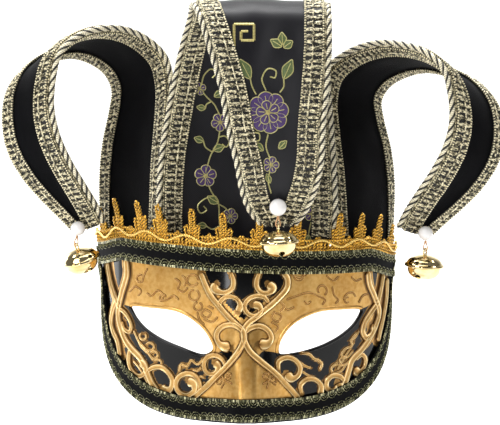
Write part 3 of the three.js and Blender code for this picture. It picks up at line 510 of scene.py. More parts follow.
class Work:
    """Points and faces in millimetres that become one piece, with a UV map in millimetres."""

    def __init__(self):
        self.points, self.faces, self.uvs, self.tags = [], [], [], []

    def grid(self, rows, us, vs, wrap=False, tag=0):
        """Faces over rows of points. us and vs are the UV values, one more of us if rows wrap."""
        base, across = len(self.points), len(rows[0])
        for row in rows:
            self.points.extend(row)
        last = across if wrap else across - 1
        for j in range(len(rows) - 1):
            for k in range(last):
                there = (k + 1) % across
                low, high = base + j * across, base + (j + 1) * across
                self.faces.append((low + k, low + there, high + there, high + k))
                self.uvs.append(((us[k], vs[j]), (us[k + 1], vs[j]), (us[k + 1], vs[j + 1]),
                                 (us[k], vs[j + 1])))
                self.tags.append(tag)
        return base, across

    def cap(self, first, count, uv, flip=False, tag=0):
        order = list(range(first, first + count))
        self.faces.append(tuple(reversed(order)) if flip else tuple(order))
        self.uvs.append((uv,) * count)
        self.tags.append(tag)

    def bar(self, rows, us, vs, tag=0):
        """Wrapped rows with a cap at both ends."""
        base, across = self.grid(rows, us, vs, wrap=True, tag=tag)
        self.cap(base, across, (0.0, vs[0]), flip=True, tag=tag)
        self.cap(base + (len(rows) - 1) * across, across, (0.0, vs[-1]), tag=tag)

    def tube(self, line, radius, sides, closed=False, tag=0, out=None):
        """A round tube along points. radius is a number or a function of the length."""
        count = len(line)
        lengths = run_lengths(line)
        normal = None
        rows = []
        for k, spot in enumerate(line):
            if closed:
                along = line[(k + 1) % count] - line[k - 1]
            else:
                along = line[min(k + 1, count - 1)] - line[max(k - 1, 0)]
            along = along.normalized()
            if out is not None:
                normal = (out[k] - along * out[k].dot(along)).normalized()
            elif normal is None:
                guess = Vector((0, -1, 0)) if abs(along.y) < 0.9 else Vector((1, 0, 0))
                normal = (guess - along * guess.dot(along)).normalized()
            else:
                normal = (normal - along * normal.dot(along)).normalized()
            side = along.cross(normal)
            here = radius(lengths[k]) if callable(radius) else radius
            rows.append([spot + side * (here * math.cos(2 * math.pi * j / sides))
                         + normal * (here * math.sin(2 * math.pi * j / sides)) for j in range(sides)])
        us = [j / sides for j in range(sides + 1)]
        if closed:
            rows.append(rows[0])
            lengths.append(lengths[-1] + (line[0] - line[-1]).length)
            self.grid(rows, us, lengths, wrap=True, tag=tag)
        else:
            self.bar(rows, us, lengths, tag)

    def piece(self, name, materials, smooth=60, weld=0.0005):
        """One mesh object of all this, its faces outwards and its edges smooth below an angle."""
        mesh = bpy.data.meshes.new(name)
        mesh.from_pydata([p * MM for p in self.points], [], self.faces)
        layer = mesh.uv_layers.new(name="UVMap")
        layer.data.foreach_set("uv", [value for face in self.uvs for uv in face for value in uv])
        mesh.polygons.foreach_set("material_index", self.tags)
        work = bmesh.new()
        work.from_mesh(mesh)
        if weld:
            bmesh.ops.remove_doubles(work, verts=work.verts, dist=weld * MM)
        bmesh.ops.recalc_face_normals(work, faces=work.faces)
        work.to_mesh(mesh)
        work.free()
        obj = bpy.data.objects.new(name, mesh)
        bpy.context.scene.collection.objects.link(obj)
        for item in materials:
            mesh.materials.append(item)
        finish(obj, smooth)
        return obj


def finish(obj, smooth=60):
    """Shades a piece smooth below an angle."""
    pick(obj)
    bpy.ops.object.shade_smooth_by_angle(angle=math.radians(smooth))


def none_selected():
    if bpy.context.mode != "OBJECT":
        bpy.ops.object.mode_set(mode="OBJECT")
    bpy.ops.object.select_all(action="DESELECT")


def pick(obj):
    """Makes an object the only one selected, and the active one."""
    none_selected()
    obj.select_set(True)
    bpy.context.view_layer.objects.active = obj


def apply_modifier(obj, kind, **settings):
    pick(obj)
    made = obj.modifiers.new(kind.title(), kind)
    for name, value in settings.items():
        setattr(made, name, value)
    bpy.ops.object.modifier_apply(modifier=made.name)


def hand_in(obj, slot, *nodes):
    """Puts a finished piece on the frame in place of its nodes."""
    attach(obj, "root")
    if nodes:
        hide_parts(*nodes)


# Materials

def add(tree, kind, inputs=None, stops=(), **settings):
    """Adds a node with its settings and links. An input is a value, a hex colour, a socket or a node."""
    made = tree.nodes.new("ShaderNode" + kind)
    for name, value in settings.items():
        setattr(made, name, value)
    for name, value in (inputs or {}).items():
        if isinstance(value, bpy.types.Node):
            value = value.outputs[0]
        if isinstance(value, bpy.types.NodeSocket):
            tree.links.new(value, made.inputs[name])
        else:
            made.inputs[name].default_value = linear(value) if isinstance(value, str) else value
    for k, (place, colour) in enumerate(stops):
        points = made.color_ramp.elements
        point = points[k] if k < 2 else points.new(place)
        point.position, point.color = place, linear(colour) if isinstance(colour, str) else colour
    return made


def new_material(name, where):
    """An empty material, its tree and the coordinates of that kind."""
    found = bpy.data.materials.new(name)
    found.use_nodes = True
    found.node_tree.nodes.clear()
    return found, found.node_tree, add(found.node_tree, "TexCoord").outputs[where]


MATERIALS = {}


def paint_shell(look):
    """Antique gold acrylic, brushed over a black lacquered resin shell. The gold is satin and
    uneven, and turns brown round the scrolls' feet: painted shade that also stands for antiquing there. The
    lacquer is wet black."""
    found, tree, place = new_material("Antique gold paint on black lacquered resin", "Object")
    gold = add(tree, "Attribute", attribute_name="gold").outputs["Fac"]
    foot = add(tree, "Attribute", attribute_name="foot").outputs["Fac"]
    # Brush marks about 3 mm long and clouds about 12 mm wide
    cloud = add(tree, "TexNoise", {"Vector": place, "Scale": 85.0, "Detail": 3.0})
    brush = add(tree, "TexNoise", {"Vector": place, "Scale": 420.0, "Detail": 2.0})
    ground = add(tree, "ValToRGB", {"Fac": cloud},
                 [(0.3, "#B9863F"), (0.72, look.gold_paint), (0.5, "#C99850")])
    wear = add(tree, "ValToRGB", {"Fac": brush}, [(0.35, "#BE8E48"), (0.62, "#E8C684")])
    ground = add(tree, "Mix", {0: 0.3, 6: ground, 7: wear}, data_type="RGBA").outputs[2]
    # Painted shade: the gold turns brown near the scrolls' feet, where the relief shades the ground, and this
    # also stands for brown antiquing there
    foot_shade_and_antiquing = add(tree, "MapRange", {"Value": foot, "From Min": 0.25, "From Max": 0.85, "To Max": 0.72})
    ground = add(tree, "Mix", {0: foot_shade_and_antiquing, 6: ground, 7: "#4A2B10"}, data_type="RGBA").outputs[2]
    # The painted border wanders with the clouds
    border = add(tree, "Math", {0: cloud, 1: 0.5, 2: gold}, operation="MULTIPLY_ADD")
    edge = add(tree, "MapRange", {"Value": border, "From Min": 0.67, "From Max": 0.83})
    colour = add(tree, "Mix", {0: edge, 6: look.lacquer, 7: ground}, data_type="RGBA").outputs[2]
    metallic = add(tree, "Math", {0: edge, 1: 0.85}, operation="MULTIPLY")
    rough = add(tree, "MapRange", {"Value": edge, "To Min": 0.11, "To Max": 0.33})
    height = add(tree, "Math", {0: brush, 1: edge}, operation="MULTIPLY")
    bump = add(tree, "Bump", {"Height": height, "Strength": 0.5, "Distance": 0.12 * MM})
    add(tree, "OutputMaterial", {"Surface": add(tree, "BsdfPrincipled", {
        "Base Color": colour, "Metallic": metallic, "Roughness": rough, "Specular IOR Level": 0.22,
        "Coat Weight": 0.04, "Coat Roughness": 0.08, "Normal": bump})})
    return found


def paint_relief(look):
    """Pale gold acrylic over cast relief, with painted highlight on the ridges and brown painted shade at the
    foot and in the middle groove.
    """
    found, tree, place = new_material("Pale gold acrylic on cast relief", "Object")
    rise = add(tree, "Attribute", attribute_name="rise").outputs["Fac"]
    brush = add(tree, "TexNoise", {"Vector": place, "Scale": 260.0, "Detail": 3.0})
    # The brush lifts the colour by up to a sixth of the relief's height
    level = add(tree, "Math", {0: brush, 1: 0.35, 2: rise}, operation="MULTIPLY_ADD")
    # The colour follows the relief's height: painted highlight on the ridges, brown painted shade at the foot
    # and in the groove
    colour = add(tree, "ValToRGB", {"Fac": add(tree, "Math", {0: level, 1: 0.175}, operation="SUBTRACT")},
                 [(0.14, "#2A1708"), (0.95, look.relief), (0.44, "#976A30"), (0.7, "#D0A660")])
    rough = add(tree, "MapRange", {"Value": brush, "To Min": 0.28, "To Max": 0.5})
    bump = add(tree, "Bump", {"Height": brush, "Strength": 0.5, "Distance": 0.15 * MM})
    add(tree, "OutputMaterial", {"Surface": add(tree, "BsdfPrincipled", {
        "Base Color": colour, "Metallic": 0.55, "Roughness": rough, "Coat Weight": 0.1,
        "Coat Roughness": 0.15, "Normal": bump})})
    return found


def felt_lining():
    """Black flocked felt, glued inside the shell: matt, with a soft sheen at a slant."""
    found, tree, place = new_material("Black flocked felt", "Object")
    # Fibres under 0.3 mm, drawn at 0.4 mm so that they show
    fibre = add(tree, "TexNoise", {"Vector": place, "Scale": 2500.0, "Detail": 2.0})
    colour = add(tree, "ValToRGB", {"Fac": fibre}, [(0.3, "#060607"), (0.7, "#151517")])
    bump = add(tree, "Bump", {"Height": fibre, "Strength": 0.7, "Distance": 0.2 * MM})
    add(tree, "OutputMaterial", {"Surface": add(tree, "BsdfPrincipled", {
        "Base Color": colour, "Roughness": 0.95, "Sheen Weight": 0.1, "Normal": bump})})
    return found


def velvet(look):
    """Black cotton velvet: a deep matt pile that only lights up at a slant."""
    found, tree, place = new_material("Black cotton velvet", "Object")
    # Pile tufts at 0.45 mm, and brushed clouds about 20 mm wide
    pile = add(tree, "TexNoise", {"Vector": place, "Scale": 2200.0, "Detail": 2.0})
    cloud = add(tree, "TexNoise", {"Vector": place, "Scale": 50.0, "Detail": 2.0})
    level = add(tree, "Mix", {0: 0.5, 2: pile, 3: cloud})
    colour = add(tree, "ValToRGB", {"Fac": level}, [(0.35, "#030304"), (0.68, look.velvet)])
    bump = add(tree, "Bump", {"Height": pile, "Strength": 0.6, "Distance": 0.3 * MM})
    add(tree, "OutputMaterial", {"Surface": add(tree, "BsdfPrincipled", {
        "Base Color": colour, "Roughness": 0.9, "Specular IOR Level": 0.1, "Sheen Weight": 0.06,
        "Sheen Roughness": 0.4, "Normal": bump})})
    return found


def satin(look):
    """Black satin ground of the brocade: a fine slanting twill with a grey sheen where it folds."""
    found, tree, place = new_material("Black satin brocade ground", "UV")
    turned = add(tree, "Mapping", {"Vector": place, "Rotation": (0.0, 0.0, math.radians(52))})
    # Twill lines are 0.35 mm apart in the cloth, drawn at 0.9 mm so that they show
    twill = add(tree, "TexWave", {"Vector": turned, "Scale": 1.0 / 0.9 / WAVES, "Distortion": 0.6,
                                  "Detail": 1.0, "Detail Scale": 2.0}).outputs["Fac"]
    cloud = add(tree, "TexNoise", {"Vector": place, "Scale": 0.05, "Detail": 2.0})
    level = add(tree, "Mix", {0: 0.4, 2: twill, 3: cloud})
    colour = add(tree, "ValToRGB", {"Fac": level}, [(0.2, "#050508"), (0.85, look.satin)])
    bump = add(tree, "Bump", {"Height": twill, "Strength": 0.5, "Distance": 0.12 * MM})
    add(tree, "OutputMaterial", {"Surface": add(tree, "BsdfPrincipled", {
        "Base Color": colour, "Roughness": 0.4, "Specular IOR Level": 0.25, "Sheen Weight": 0.05,
        "Anisotropic": 0.4, "Normal": bump})})
    return found


def woven(name, dark, light, roughness, metallic, pitch=0.6, sheen=0.2, bands="Y", gloss=0.5):
    """A satin-stitched or woven thread surface, ribbed across the piece's own UV map."""
    found, tree, place = new_material(name, "UV")
    ribs = add(tree, "TexWave", {"Vector": place, "Scale": 1.0 / pitch / WAVES, "Distortion": 1.2,
                                 "Detail": 2.0, "Detail Scale": 1.5}, bands_direction=bands).outputs["Fac"]
    fleck = add(tree, "TexNoise", {"Vector": place, "Scale": 1.6, "Detail": 2.0})
    level = add(tree, "Mix", {0: 0.5, 2: ribs, 3: fleck})
    colour = add(tree, "ValToRGB", {"Fac": level}, [(0.28, dark), (0.7, light)])
    bump = add(tree, "Bump", {"Height": ribs, "Strength": 0.6, "Distance": 0.15 * MM})
    add(tree, "OutputMaterial", {"Surface": add(tree, "BsdfPrincipled", {
        "Base Color": colour, "Roughness": roughness, "Metallic": metallic, "Sheen Weight": sheen,
        "Specular IOR Level": gloss, "Normal": bump})})
    return found


def braid_ground():
    """Ground of the metallic braid: black rayon with flecks of ivory and silver thread."""
    found, tree, place = new_material("Black and ivory flecked braid ground", "UV")
    # Flecks of crossing thread, about 0.9 mm apart
    cells = add(tree, "TexVoronoi", {"Vector": place, "Scale": 1.1, "Randomness": 0.8})
    fleck = add(tree, "TexNoise", {"Vector": place, "Scale": 0.9, "Detail": 2.0})
    level = add(tree, "Math", {0: fleck, 1: 0.9, 2: cells}, operation="MULTIPLY_ADD")
    colour = add(tree, "ValToRGB", {"Fac": level}, [(0.61, "#C4B98E"), (0.81, "#0C0B08"), (0.69, "#48412B")])
    bump = add(tree, "Bump", {"Height": cells, "Strength": 0.7, "Distance": 0.3 * MM}, invert=True)
    add(tree, "OutputMaterial", {"Surface": add(tree, "BsdfPrincipled", {
        "Base Color": colour, "Metallic": 0.2, "Roughness": 0.5, "Normal": bump})})
    return found


def glinting_thread(look):
    """Olive lurex thread with silver glints painted into its colour every millimetre or so."""
    found, tree, place = new_material("Olive lurex thread with painted silver glints", "UV")
    fleck = add(tree, "TexNoise", {"Vector": place, "Scale": 0.9, "Detail": 1.0})
    # The bright silver specks are painted glints over the olive thread
    colour = add(tree, "ValToRGB", {"Fac": fleck}, [(0.42, "#0D0E07"), (0.66, look.loops), (0.53, "#62623A")])
    bump = add(tree, "Bump", {"Height": fleck, "Strength": 0.6, "Distance": 0.2 * MM})
    add(tree, "OutputMaterial", {"Surface": add(tree, "BsdfPrincipled", {
        "Base Color": colour, "Metallic": 0.4, "Roughness": 0.4, "Normal": bump})})
    return found


def mottled_thread(look):
    """Ribs of the braid: bright ivory and silver thread with short black floats, and painted shade between
    its plies.
    """
    found, tree, place = new_material("Ivory and silver metallised thread", "UV")
    solid = add(tree, "TexCoord").outputs["Object"]
    # Floats about 1.5 mm long
    floats = add(tree, "TexNoise", {"Vector": solid, "Scale": 620.0, "Detail": 2.0, "Roughness": 0.6})
    split = add(tree, "SeparateXYZ", {"Vector": place})
    slant = add(tree, "Math", {0: split.outputs["X"], 1: 2.0, 2: split.outputs["Y"]},
                operation="MULTIPLY_ADD")
    ply = add(tree, "Math", {0: slant, 1: 0.5}, operation="PINGPONG")
    # Each ply is dark at its edges and light at its middle, like the bump: painted shade between plies and
    # painted highlight on them. The random black floats are the braid's own thread.
    level = add(tree, "Math", {0: ply, 1: 0.3, 2: floats}, operation="MULTIPLY_ADD")
    colour = add(tree, "ValToRGB", {"Fac": level},
                 [(0.465, "#100E09"), (0.66, look.braid), (0.545, "#857B5B")])
    bump = add(tree, "Bump", {"Height": level, "Strength": 0.6, "Distance": 0.25 * MM})
    add(tree, "OutputMaterial", {"Surface": add(tree, "BsdfPrincipled", {
        "Base Color": colour, "Metallic": 0.15, "Roughness": 0.4, "Normal": bump})})
    return found


def knotted_thread():
    """Margin of the braid: ivory and silver knots with black thread between them."""
    found, tree, place = new_material("Ivory and black knotted thread", "UV")
    split = add(tree, "SeparateXYZ", {"Vector": place})
    fleck = add(tree, "TexNoise", {"Vector": place, "Scale": 1.3, "Detail": 2.0})
    along = add(tree, "Math", {0: fleck, 1: 1.44, 2: split.outputs["Y"]}, operation="MULTIPLY_ADD")
    # One knot each 1.6 mm
    knot = add(tree, "Math", {0: along, 1: 0.8}, operation="PINGPONG")
    colour = add(tree, "ValToRGB", {"Fac": knot}, [(0.21, "#0D0C08"), (0.48, "#EFE4BE"), (0.32, "#5B533A")])
    bump = add(tree, "Bump", {"Height": knot, "Strength": 0.6, "Distance": 0.16 * MM})
    add(tree, "OutputMaterial", {"Surface": add(tree, "BsdfPrincipled", {
        "Base Color": colour, "Metallic": 0.25, "Roughness": 0.4, "Normal": bump})})
    return found


def thread(name, dark, light, roughness, metallic, twist=1.0):
    """Twisted thread: fine slanting plies that follow the tube's own UV map, with painted shade between the
    plies and painted highlight on them.
    """
    found, tree, place = new_material(name, "UV")
    split = add(tree, "SeparateXYZ", {"Vector": place})
    slant = add(tree, "Math", {0: split.outputs["X"], 1: 2.0 * twist, 2: split.outputs["Y"]},
                operation="MULTIPLY_ADD")
    ply = add(tree, "Math", {0: slant, 1: twist / 2}, operation="PINGPONG")
    fleck = add(tree, "TexNoise", {"Vector": place, "Scale": 1.1, "Detail": 2.0})
    # The colour rises with the plies' height, as the bump does: painted shade in the grooves and painted
    # highlight on the crests, with random flecks added
    level = add(tree, "Math", {0: fleck, 1: 0.5,
                               2: add(tree, "Math", {0: ply, 1: 1.1 / twist}, operation="MULTIPLY")},
                operation="MULTIPLY_ADD")
    colour = add(tree, "ValToRGB", {"Fac": level}, [(0.25, dark), (0.75, light)])
    bump = add(tree, "Bump", {"Height": ply, "Strength": 0.7, "Distance": 0.2 * MM})
    add(tree, "OutputMaterial", {"Surface": add(tree, "BsdfPrincipled", {
        "Base Color": colour, "Metallic": metallic, "Roughness": roughness, "Normal": bump})})
    return found


def metal(name, dark, light, roughness, grain):
    """Plated metal: a little uneven in colour and polish."""
    found, tree, place = new_material(name, "Object")
    cloud = add(tree, "TexNoise", {"Vector": place, "Scale": grain, "Detail": 3.0})
    colour = add(tree, "ValToRGB", {"Fac": cloud}, [(0.3, dark), (0.7, light)])
    rough = add(tree, "MapRange", {"Value": cloud, "To Min": roughness, "To Max": roughness * 2.2})
    add(tree, "OutputMaterial", {"Surface": add(tree, "BsdfPrincipled", {
        "Base Color": colour, "Metallic": 1.0, "Roughness": rough})})
    return found


def pearl_lacquer(look):
    """Imitation pearl: many coats of pearl lacquer over a white bead, faintly pink and green."""
    found, tree, place = new_material("Pearl lacquered bead", "Object")
    cloud = add(tree, "TexNoise", {"Vector": place, "Scale": 220.0, "Detail": 2.0})
    colour = add(tree, "ValToRGB", {"Fac": cloud}, [(0.3, "#E9E3E0"), (0.7, look.pearls)])
    add(tree, "OutputMaterial", {"Surface": add(tree, "BsdfPrincipled", {
        "Base Color": colour, "Roughness": 0.22, "Subsurface Weight": 0.15, "Coat Weight": 0.6,
        "Subsurface Radius": (0.001, 0.001, 0.001), "Coat Roughness": 0.08})})
    return found


def floor_paper():
    """Matt white background paper with a faint tooth."""
    found, tree, place = new_material("White background paper", "Object")
    tooth = add(tree, "TexNoise", {"Vector": place, "Scale": 6.0, "Detail": 2.0})
    colour = add(tree, "ValToRGB", {"Fac": tooth}, [(0.3, "#F4F4F2"), (0.7, "#FAFAF9")])
    add(tree, "OutputMaterial", {"Surface": add(tree, "BsdfPrincipled",
                                                {"Base Color": colour, "Roughness": 0.95})})
    return found


# Sizes and colours that a user would change

class MaskSizes(bpy.types.PropertyGroup):
    relief_height: FloatProperty(name="Relief height", description="How far the scrolls stand out",
                                 default=0.0015,
                                 min=0.0005, max=0.003, unit="LENGTH")
    rib_pitch: FloatProperty(name="Rib pitch", description="From rib to rib of the horns' braid",
                             default=0.0034,
                             min=0.002, max=0.006, unit="LENGTH")
    strand_pitch: FloatProperty(name="Cord lay", description="One full turn of the twisted cord",
                                default=0.0118,
                                min=0.006, max=0.02, unit="LENGTH")
    loop_pitch: FloatProperty(name="Loop pitch", description="From loop to loop of the black braid",
                              default=0.0054,
                              min=0.004, max=0.01, unit="LENGTH")
    bullion: FloatProperty(name="Bullion thickness", description="Thickness of the lace's coiled thread",
                           default=0.0016, min=0.0008, max=0.003, unit="LENGTH")
    seed: IntProperty(name="Seed", description="Seed of all small irregularities", default=7, min=0)


def tint(name, description, code):
    """A colour that a user would change."""
    return FloatVectorProperty(name=name, description=description, subtype="COLOR", size=4, min=0.0, max=1.0,
                               default=linear(code))


class MaskColours(bpy.types.PropertyGroup):
    gold_paint: tint("Gold paint", "Light parts of the shell's gold", "#D8A961")
    lacquer: tint("Lacquer", "Bare parts of the shell", "#030304")
    # The relief's colour is the painted highlight on the scrolls' ridges
    relief: tint("Relief", "Ridges of the scrolls", "#FFE8B4")
    velvet: tint("Velvet", "Cloth of the side horns", "#0B0B0E")
    satin: tint("Satin", "Cloth of the middle horn", "#15141B")
    petals: tint("Petals", "Weft of the blossoms", "#4C2A74")
    leaves: tint("Leaves", "Weft of the leaves", "#6A7C42")
    # The loops' colour is their painted silver glints
    loops: tint("Loops", "Glints of the black braid's loops", "#E9E4B8")
    # The light ends of braid, cord and lace are their threads' colour with the painted highlight of the
    # plies' crests
    braid: tint("Braid", "Light thread of the horns' braid", "#FBF1CF")
    cord: tint("Cord", "Light strands of the twisted cord", "#FBF3DA")
    lace: tint("Lace", "Ridges of the gold bullion", "#FFC64C")
    bells: tint("Bells", "Light parts of the brass", "#FAE9BA")
    pearls: tint("Pearls", "Light parts of the pearls", "#F4F3F2")


class MASK_OT_finishes(bpy.types.Operator):
    """Mixes the finishes of all the pieces"""
    bl_idname = "mask.finishes"
    bl_label = "Finishes"

    def execute(self, context):
        look = context.scene.mask_colours
        MATERIALS.update({
            "shell": paint_shell(look),
            "relief": paint_relief(look),
            "felt": felt_lining(),
            "velvet": velvet(look),
            "satin": satin(look),
            "leaf": woven("Olive brocade weft", "#2E3A1B", look.leaves, 0.5, 0.1, 0.8, bands="X"),
            "petal": woven("Purple brocade weft", "#221038", look.petals, 0.45, 0.05, 0.9, bands="X"),
            "gold_weft": woven("Gold brocade weft", "#8A7A3A", "#E3D68C", 0.4, 0.35, 0.8),
            "outline": thread("Gold lurex thread", "#7D7A3C", "#E6DE9C", 0.35, 0.4, 0.8),
            "black_braid": woven("Black rayon braid", "#020203", "#08080A", 0.8, 0.0, 0.7, 0.01, gloss=0.1),
            "olive_thread": glinting_thread(look),
            # The bullion's dark and light colours are its painted shade between turns and painted highlight
            # on them
            "lace": thread("Gold bullion of metallised thread", "#3E2004", look.lace, 0.3, 0.65,
                           BULLION_TURN),
            "gimp": thread("Smooth gold gimp cord", "#C4942F", "#FFDC80", 0.25, 0.6, 1.6),
            "braid_ground": braid_ground(),
            "rib_thread": mottled_thread(look),
            "knots": knotted_thread(),
            "strand": thread("Ivory and silver twisted cord", "#A79C78", look.cord, 0.35, 0.15, 1.3),
            "black_strand": thread("Black rayon strand", "#060606", "#26241E", 0.5, 0.0, 1.3),
            "pearl": pearl_lacquer(look),
            "wire": metal("Copper-gold plated wire", "#C98F62", "#EBC79C", 0.2, 900.0),
            "bell": metal("Pale brass plate", "#DCC184", look.bells, 0.06, 160.0),
            "paper": floor_paper(),
        })
        return {"FINISHED"}


# Pieces

def polygon_distance(spot, outline):
    """Distance inside an outline, negative outside."""
    x, y = spot
    inside, nearest = False, 1e9
    for (ax, ay), (bx, by) in zip(outline, outline[1:] + outline[:1]):
        if (ay > y) != (by > y) and x < (bx - ax) * (y - ay) / (by - ay) + ax:
            inside = not inside
        dx, dy = bx - ax, by - ay
        part = min(max(((x - ax) * dx + (y - ay) * dy) / (dx * dx + dy * dy + 1e-9), 0.0), 1.0)
        nearest = min(nearest, math.hypot(x - ax - part * dx, y - ay - part * dy))
    return nearest if inside else -nearest


def scroll_tree():
    """The middle lines of all raised lines, to find how near a place is to one."""
    spots = []
    for wide, line in [(wide, line) for wide, _, line in SCROLLS] + THIN_LINES:
        spots += [(p, wide / 2) for p in evenly(flat(line), 0.8)]
    tree = kdtree.KDTree(len(spots))
    for k, (spot, _) in enumerate(spots):
        tree.insert(spot, k)
    tree.balance()
    return tree, [half for _, half in spots]


def paint_attributes(obj, lines):
    """Stores where the shell is gold, and how near each point is to a scroll's foot."""
    tree, halves = lines
    golds, feet = [], []
    for vertex in obj.data.vertices:
        spot = drawn_from(vertex.co / MM)
        _, index, away = tree.find((spot[0], spot[1], 0))
        beside = away - halves[index]
        ground = step(-1.6, 1.6, polygon_distance(spot, GOLD_GROUND))
        panel = step(-1.2, 1.2, polygon_distance(spot, BLACK_PANEL))
        gold = ground * (1 - panel)
        # Gold brushed over the scrolls spills a little on the black beside them
        temple = step(134, 122, spot[0]) if spot[0] < 246 else step(360, 372, spot[0])
        spill = 1 - step(0.2, mix(2.6, 4.2, temple), beside)
        golds.append(max(gold, spill * mix(0.62, 0.85, temple)))
        # Nearness to a scroll's foot, where the shell's paint lays its brown painted shade
        feet.append((1 - step(0.2, 2.4, beside)) * 0.9)
    for name, values in (("gold", golds), ("foot", feet)):
        layer = obj.data.attributes.new(name, "FLOAT", "POINT")
        layer.data.foreach_set("value", values)


def eye_line(table):
    """The outline of an eye hole on the face, evenly spaced in the drawing."""
    return evenly(flat(table), 1.4, closed=True)


class MASK_OT_shell(bpy.types.Operator):
    """Builds the moulded shell with its eye holes, its paint and its felt lining"""
    bl_idname = "mask.shell"
    bl_label = "Shell"

    def execute(self, context):
        none_selected()
        columns, rows = 236, 78
        bpy.ops.mesh.primitive_grid_add(x_subdivisions=columns, y_subdivisions=rows, size=2.0, calc_uvs=True)
        shell = context.object
        shell.name = shell.data.name = "painted_shell"
        for vertex in shell.data.vertices:
            column, row = vertex.co.x, (1 - vertex.co.y) / 2
            top, rim = top_point(column), rim_point(column)
            vertex.co = on_face(mix(top[0], rim[0], row), mix(top[1], rim[1], row), 0.0) * MM
        mesh = shell.data
        mesh.materials.append(MATERIALS["shell"])
        mesh.materials.append(MATERIALS["felt"])
        work = bmesh.new()
        work.from_mesh(mesh)
        work.faces.ensure_lookup_table()
        if work.faces[len(work.faces) // 2].normal.y > 0:
            bmesh.ops.reverse_faces(work, faces=work.faces)
        work.to_mesh(mesh)
        work.free()
        apply_modifier(shell, "SOLIDIFY", thickness=SHELL_WALL * MM, offset=-1.0, use_even_offset=False,
                       material_offset=1, material_offset_rim=0)
        for table in (LEFT_EYE, RIGHT_EYE):
            line = eye_line(table)
            corners = [Vector(drawn_xh(spot)) for spot in line]
            none_selected()
            bpy.ops.mesh.primitive_circle_add(vertices=len(corners), radius=0.01, fill_type="NGON")
            cutter = context.object
            for vertex, corner in zip(cutter.data.vertices, corners):
                along = Vector((0, math.cos(TILT), -math.sin(TILT)))
                up = Vector((0, math.sin(TILT), math.cos(TILT)))
                vertex.co = (Vector((corner.x, 0, 0)) + up * corner.y - along * 60) * MM
            bpy.ops.object.mode_set(mode="EDIT")
            bpy.ops.mesh.select_all(action="SELECT")
            bpy.ops.mesh.extrude_region_move(
                TRANSFORM_OT_translate={"value": (0, 0.16 * math.cos(TILT), -0.16 * math.sin(TILT))})
            bpy.ops.mesh.select_all(action="SELECT")
            bpy.ops.mesh.normals_make_consistent(inside=False)
            bpy.ops.object.mode_set(mode="OBJECT")
            apply_modifier(shell, "BOOLEAN", operation="DIFFERENCE", object=cutter, solver="EXACT")
            bpy.data.objects.remove(cutter)
            middle = sum(line, Vector()) / len(line)
            spots = [drawn_from(v.co / MM) for v in shell.data.vertices]
            if any(math.hypot(x - middle.x, y - middle.y) < 8 for x, y in spots):
                raise RuntimeError(f"the eye hole at {middle.x:.0f} wasn't cut")
        lines = scroll_tree()
        paint_attributes(shell, lines)
        finish(shell, 50)
        hand_in(shell, "shell_paint", "mask_shell")
        # A rolled lip round each eye hole
        lip = Work()
        for table in (LEFT_EYE, RIGHT_EYE):
            spots = [drawn_at(spot) for spot in eye_line(table)]
            line = [on_face(x, z, -0.5) for x, z in spots]
            lip.tube(line, 1.25, 10, closed=True, out=[face_out(x, z) for x, z in spots])
        lips = lip.piece("eye_lips", [MATERIALS["shell"]])
        paint_attributes(lips, lines)
        hand_in(lips, "shell_paint")
        return {"FINISHED"}


# Half of a scroll's section, as shares of the half width and of the height
SCROLL_SECTION = [(1.3, -0.3), (1.04, 0.1), (0.92, 0.62), (0.76, 1.0), (0.58, 0.82), (0.36, 0.62),
                  (0.0, 0.56)]


def lay_ribbon(work, rises, drawn_line, wide, height, swell=1.0, spacing=0.9):
    """A raised ribbon along a line of the drawing, with round ends."""
    spots = evenly(flat(drawn_line), spacing)
    scale = FACE_HALF / DRAWN_HALF
    lengths = run_lengths(spots)
    total = lengths[-1]
    half = wide / 2
    profile = [(-u, v) for u, v in SCROLL_SECTION] + [(u, v) for u, v in SCROLL_SECTION[-2::-1]]
    rows = []
    for k, spot in enumerate(spots):
        ahead = spots[min(k + 1, len(spots) - 1)] - spots[max(k - 1, 0)]
        x, z = drawn_at(spot)
        nx, nz = drawn_at(spot + ahead.normalized() * 0.4)
        base, out = on_face(x, z, 0.0), face_out(x, z)
        along = (on_face(nx, nz, 0.0) - base).normalized()
        side = along.cross(out).normalized()
        near_end = min(lengths[k], total - lengths[k]) / half
        tip = math.sqrt(max(1 - (1 - min(near_end, 1.0)) ** 2, 0.04))
        fat = mix(0.72, 1.0, step(0, 2.0 * wide, lengths[k])) if swell > 1 else 1.0
        fat *= 1 + 1.8 * (swell - 1) * step(total - 2.6 * wide, total - 0.8 * wide, lengths[k])
        width = half * scale * tip * fat
        tall = height * (0.35 + 0.65 * tip)
        rows.append([base + side * (u * width) + out * (v * tall if v > 0 else v * 1.2) for u, v in profile])
        # rise is the section's height, from which the relief's paint takes its painted highlight and shade
        rises.extend([max(v, 0.0) * (0.5 + 0.5 * tip) for _, v in profile])
    us = [(u + 1.3) * half * scale for u, _ in profile]
    work.grid(rows, us, [length * scale for length in lengths])


class MASK_OT_scrolls(bpy.types.Operator):
    """Lays the raised scrolls, the thin scrolls and the fine lines over the shell"""
    bl_idname = "mask.scrolls"
    bl_label = "Scrolls"

    def execute(self, context):
        sizes = context.scene.mask_sizes
        height = sizes.relief_height / MM
        groups = [
            ("raised_scrolls", [(wide, swell, line, height) for wide, swell, line in SCROLLS], 0.9),
            ("thin_scrolls", [(wide, 1.0, line, height * 0.5) for wide, line in THIN_LINES], 0.8),
            ("ground_lines", [(2.3, 1.0, line, 0.5) for line in GROUND_LINES], 0.8),
        ]
        for name, lines, spacing in groups:
            work, rises = Work(), []
            for wide, swell, line, tall in lines:
                lay_ribbon(work, rises, line, wide, tall, swell, spacing)
            piece = work.piece(name, [MATERIALS["relief"]], smooth=70, weld=0)
            layer = piece.data.attributes.new("rise", "FLOAT", "POINT")
            # The ground lines get a lower rise, and so a dimmer painted highlight
            layer.data.foreach_set("value", [rise * (0.74 if name == "ground_lines" else 1.0)
                                             for rise in rises])
            hand_in(piece, "shell_paint")
        return {"FINISHED"}


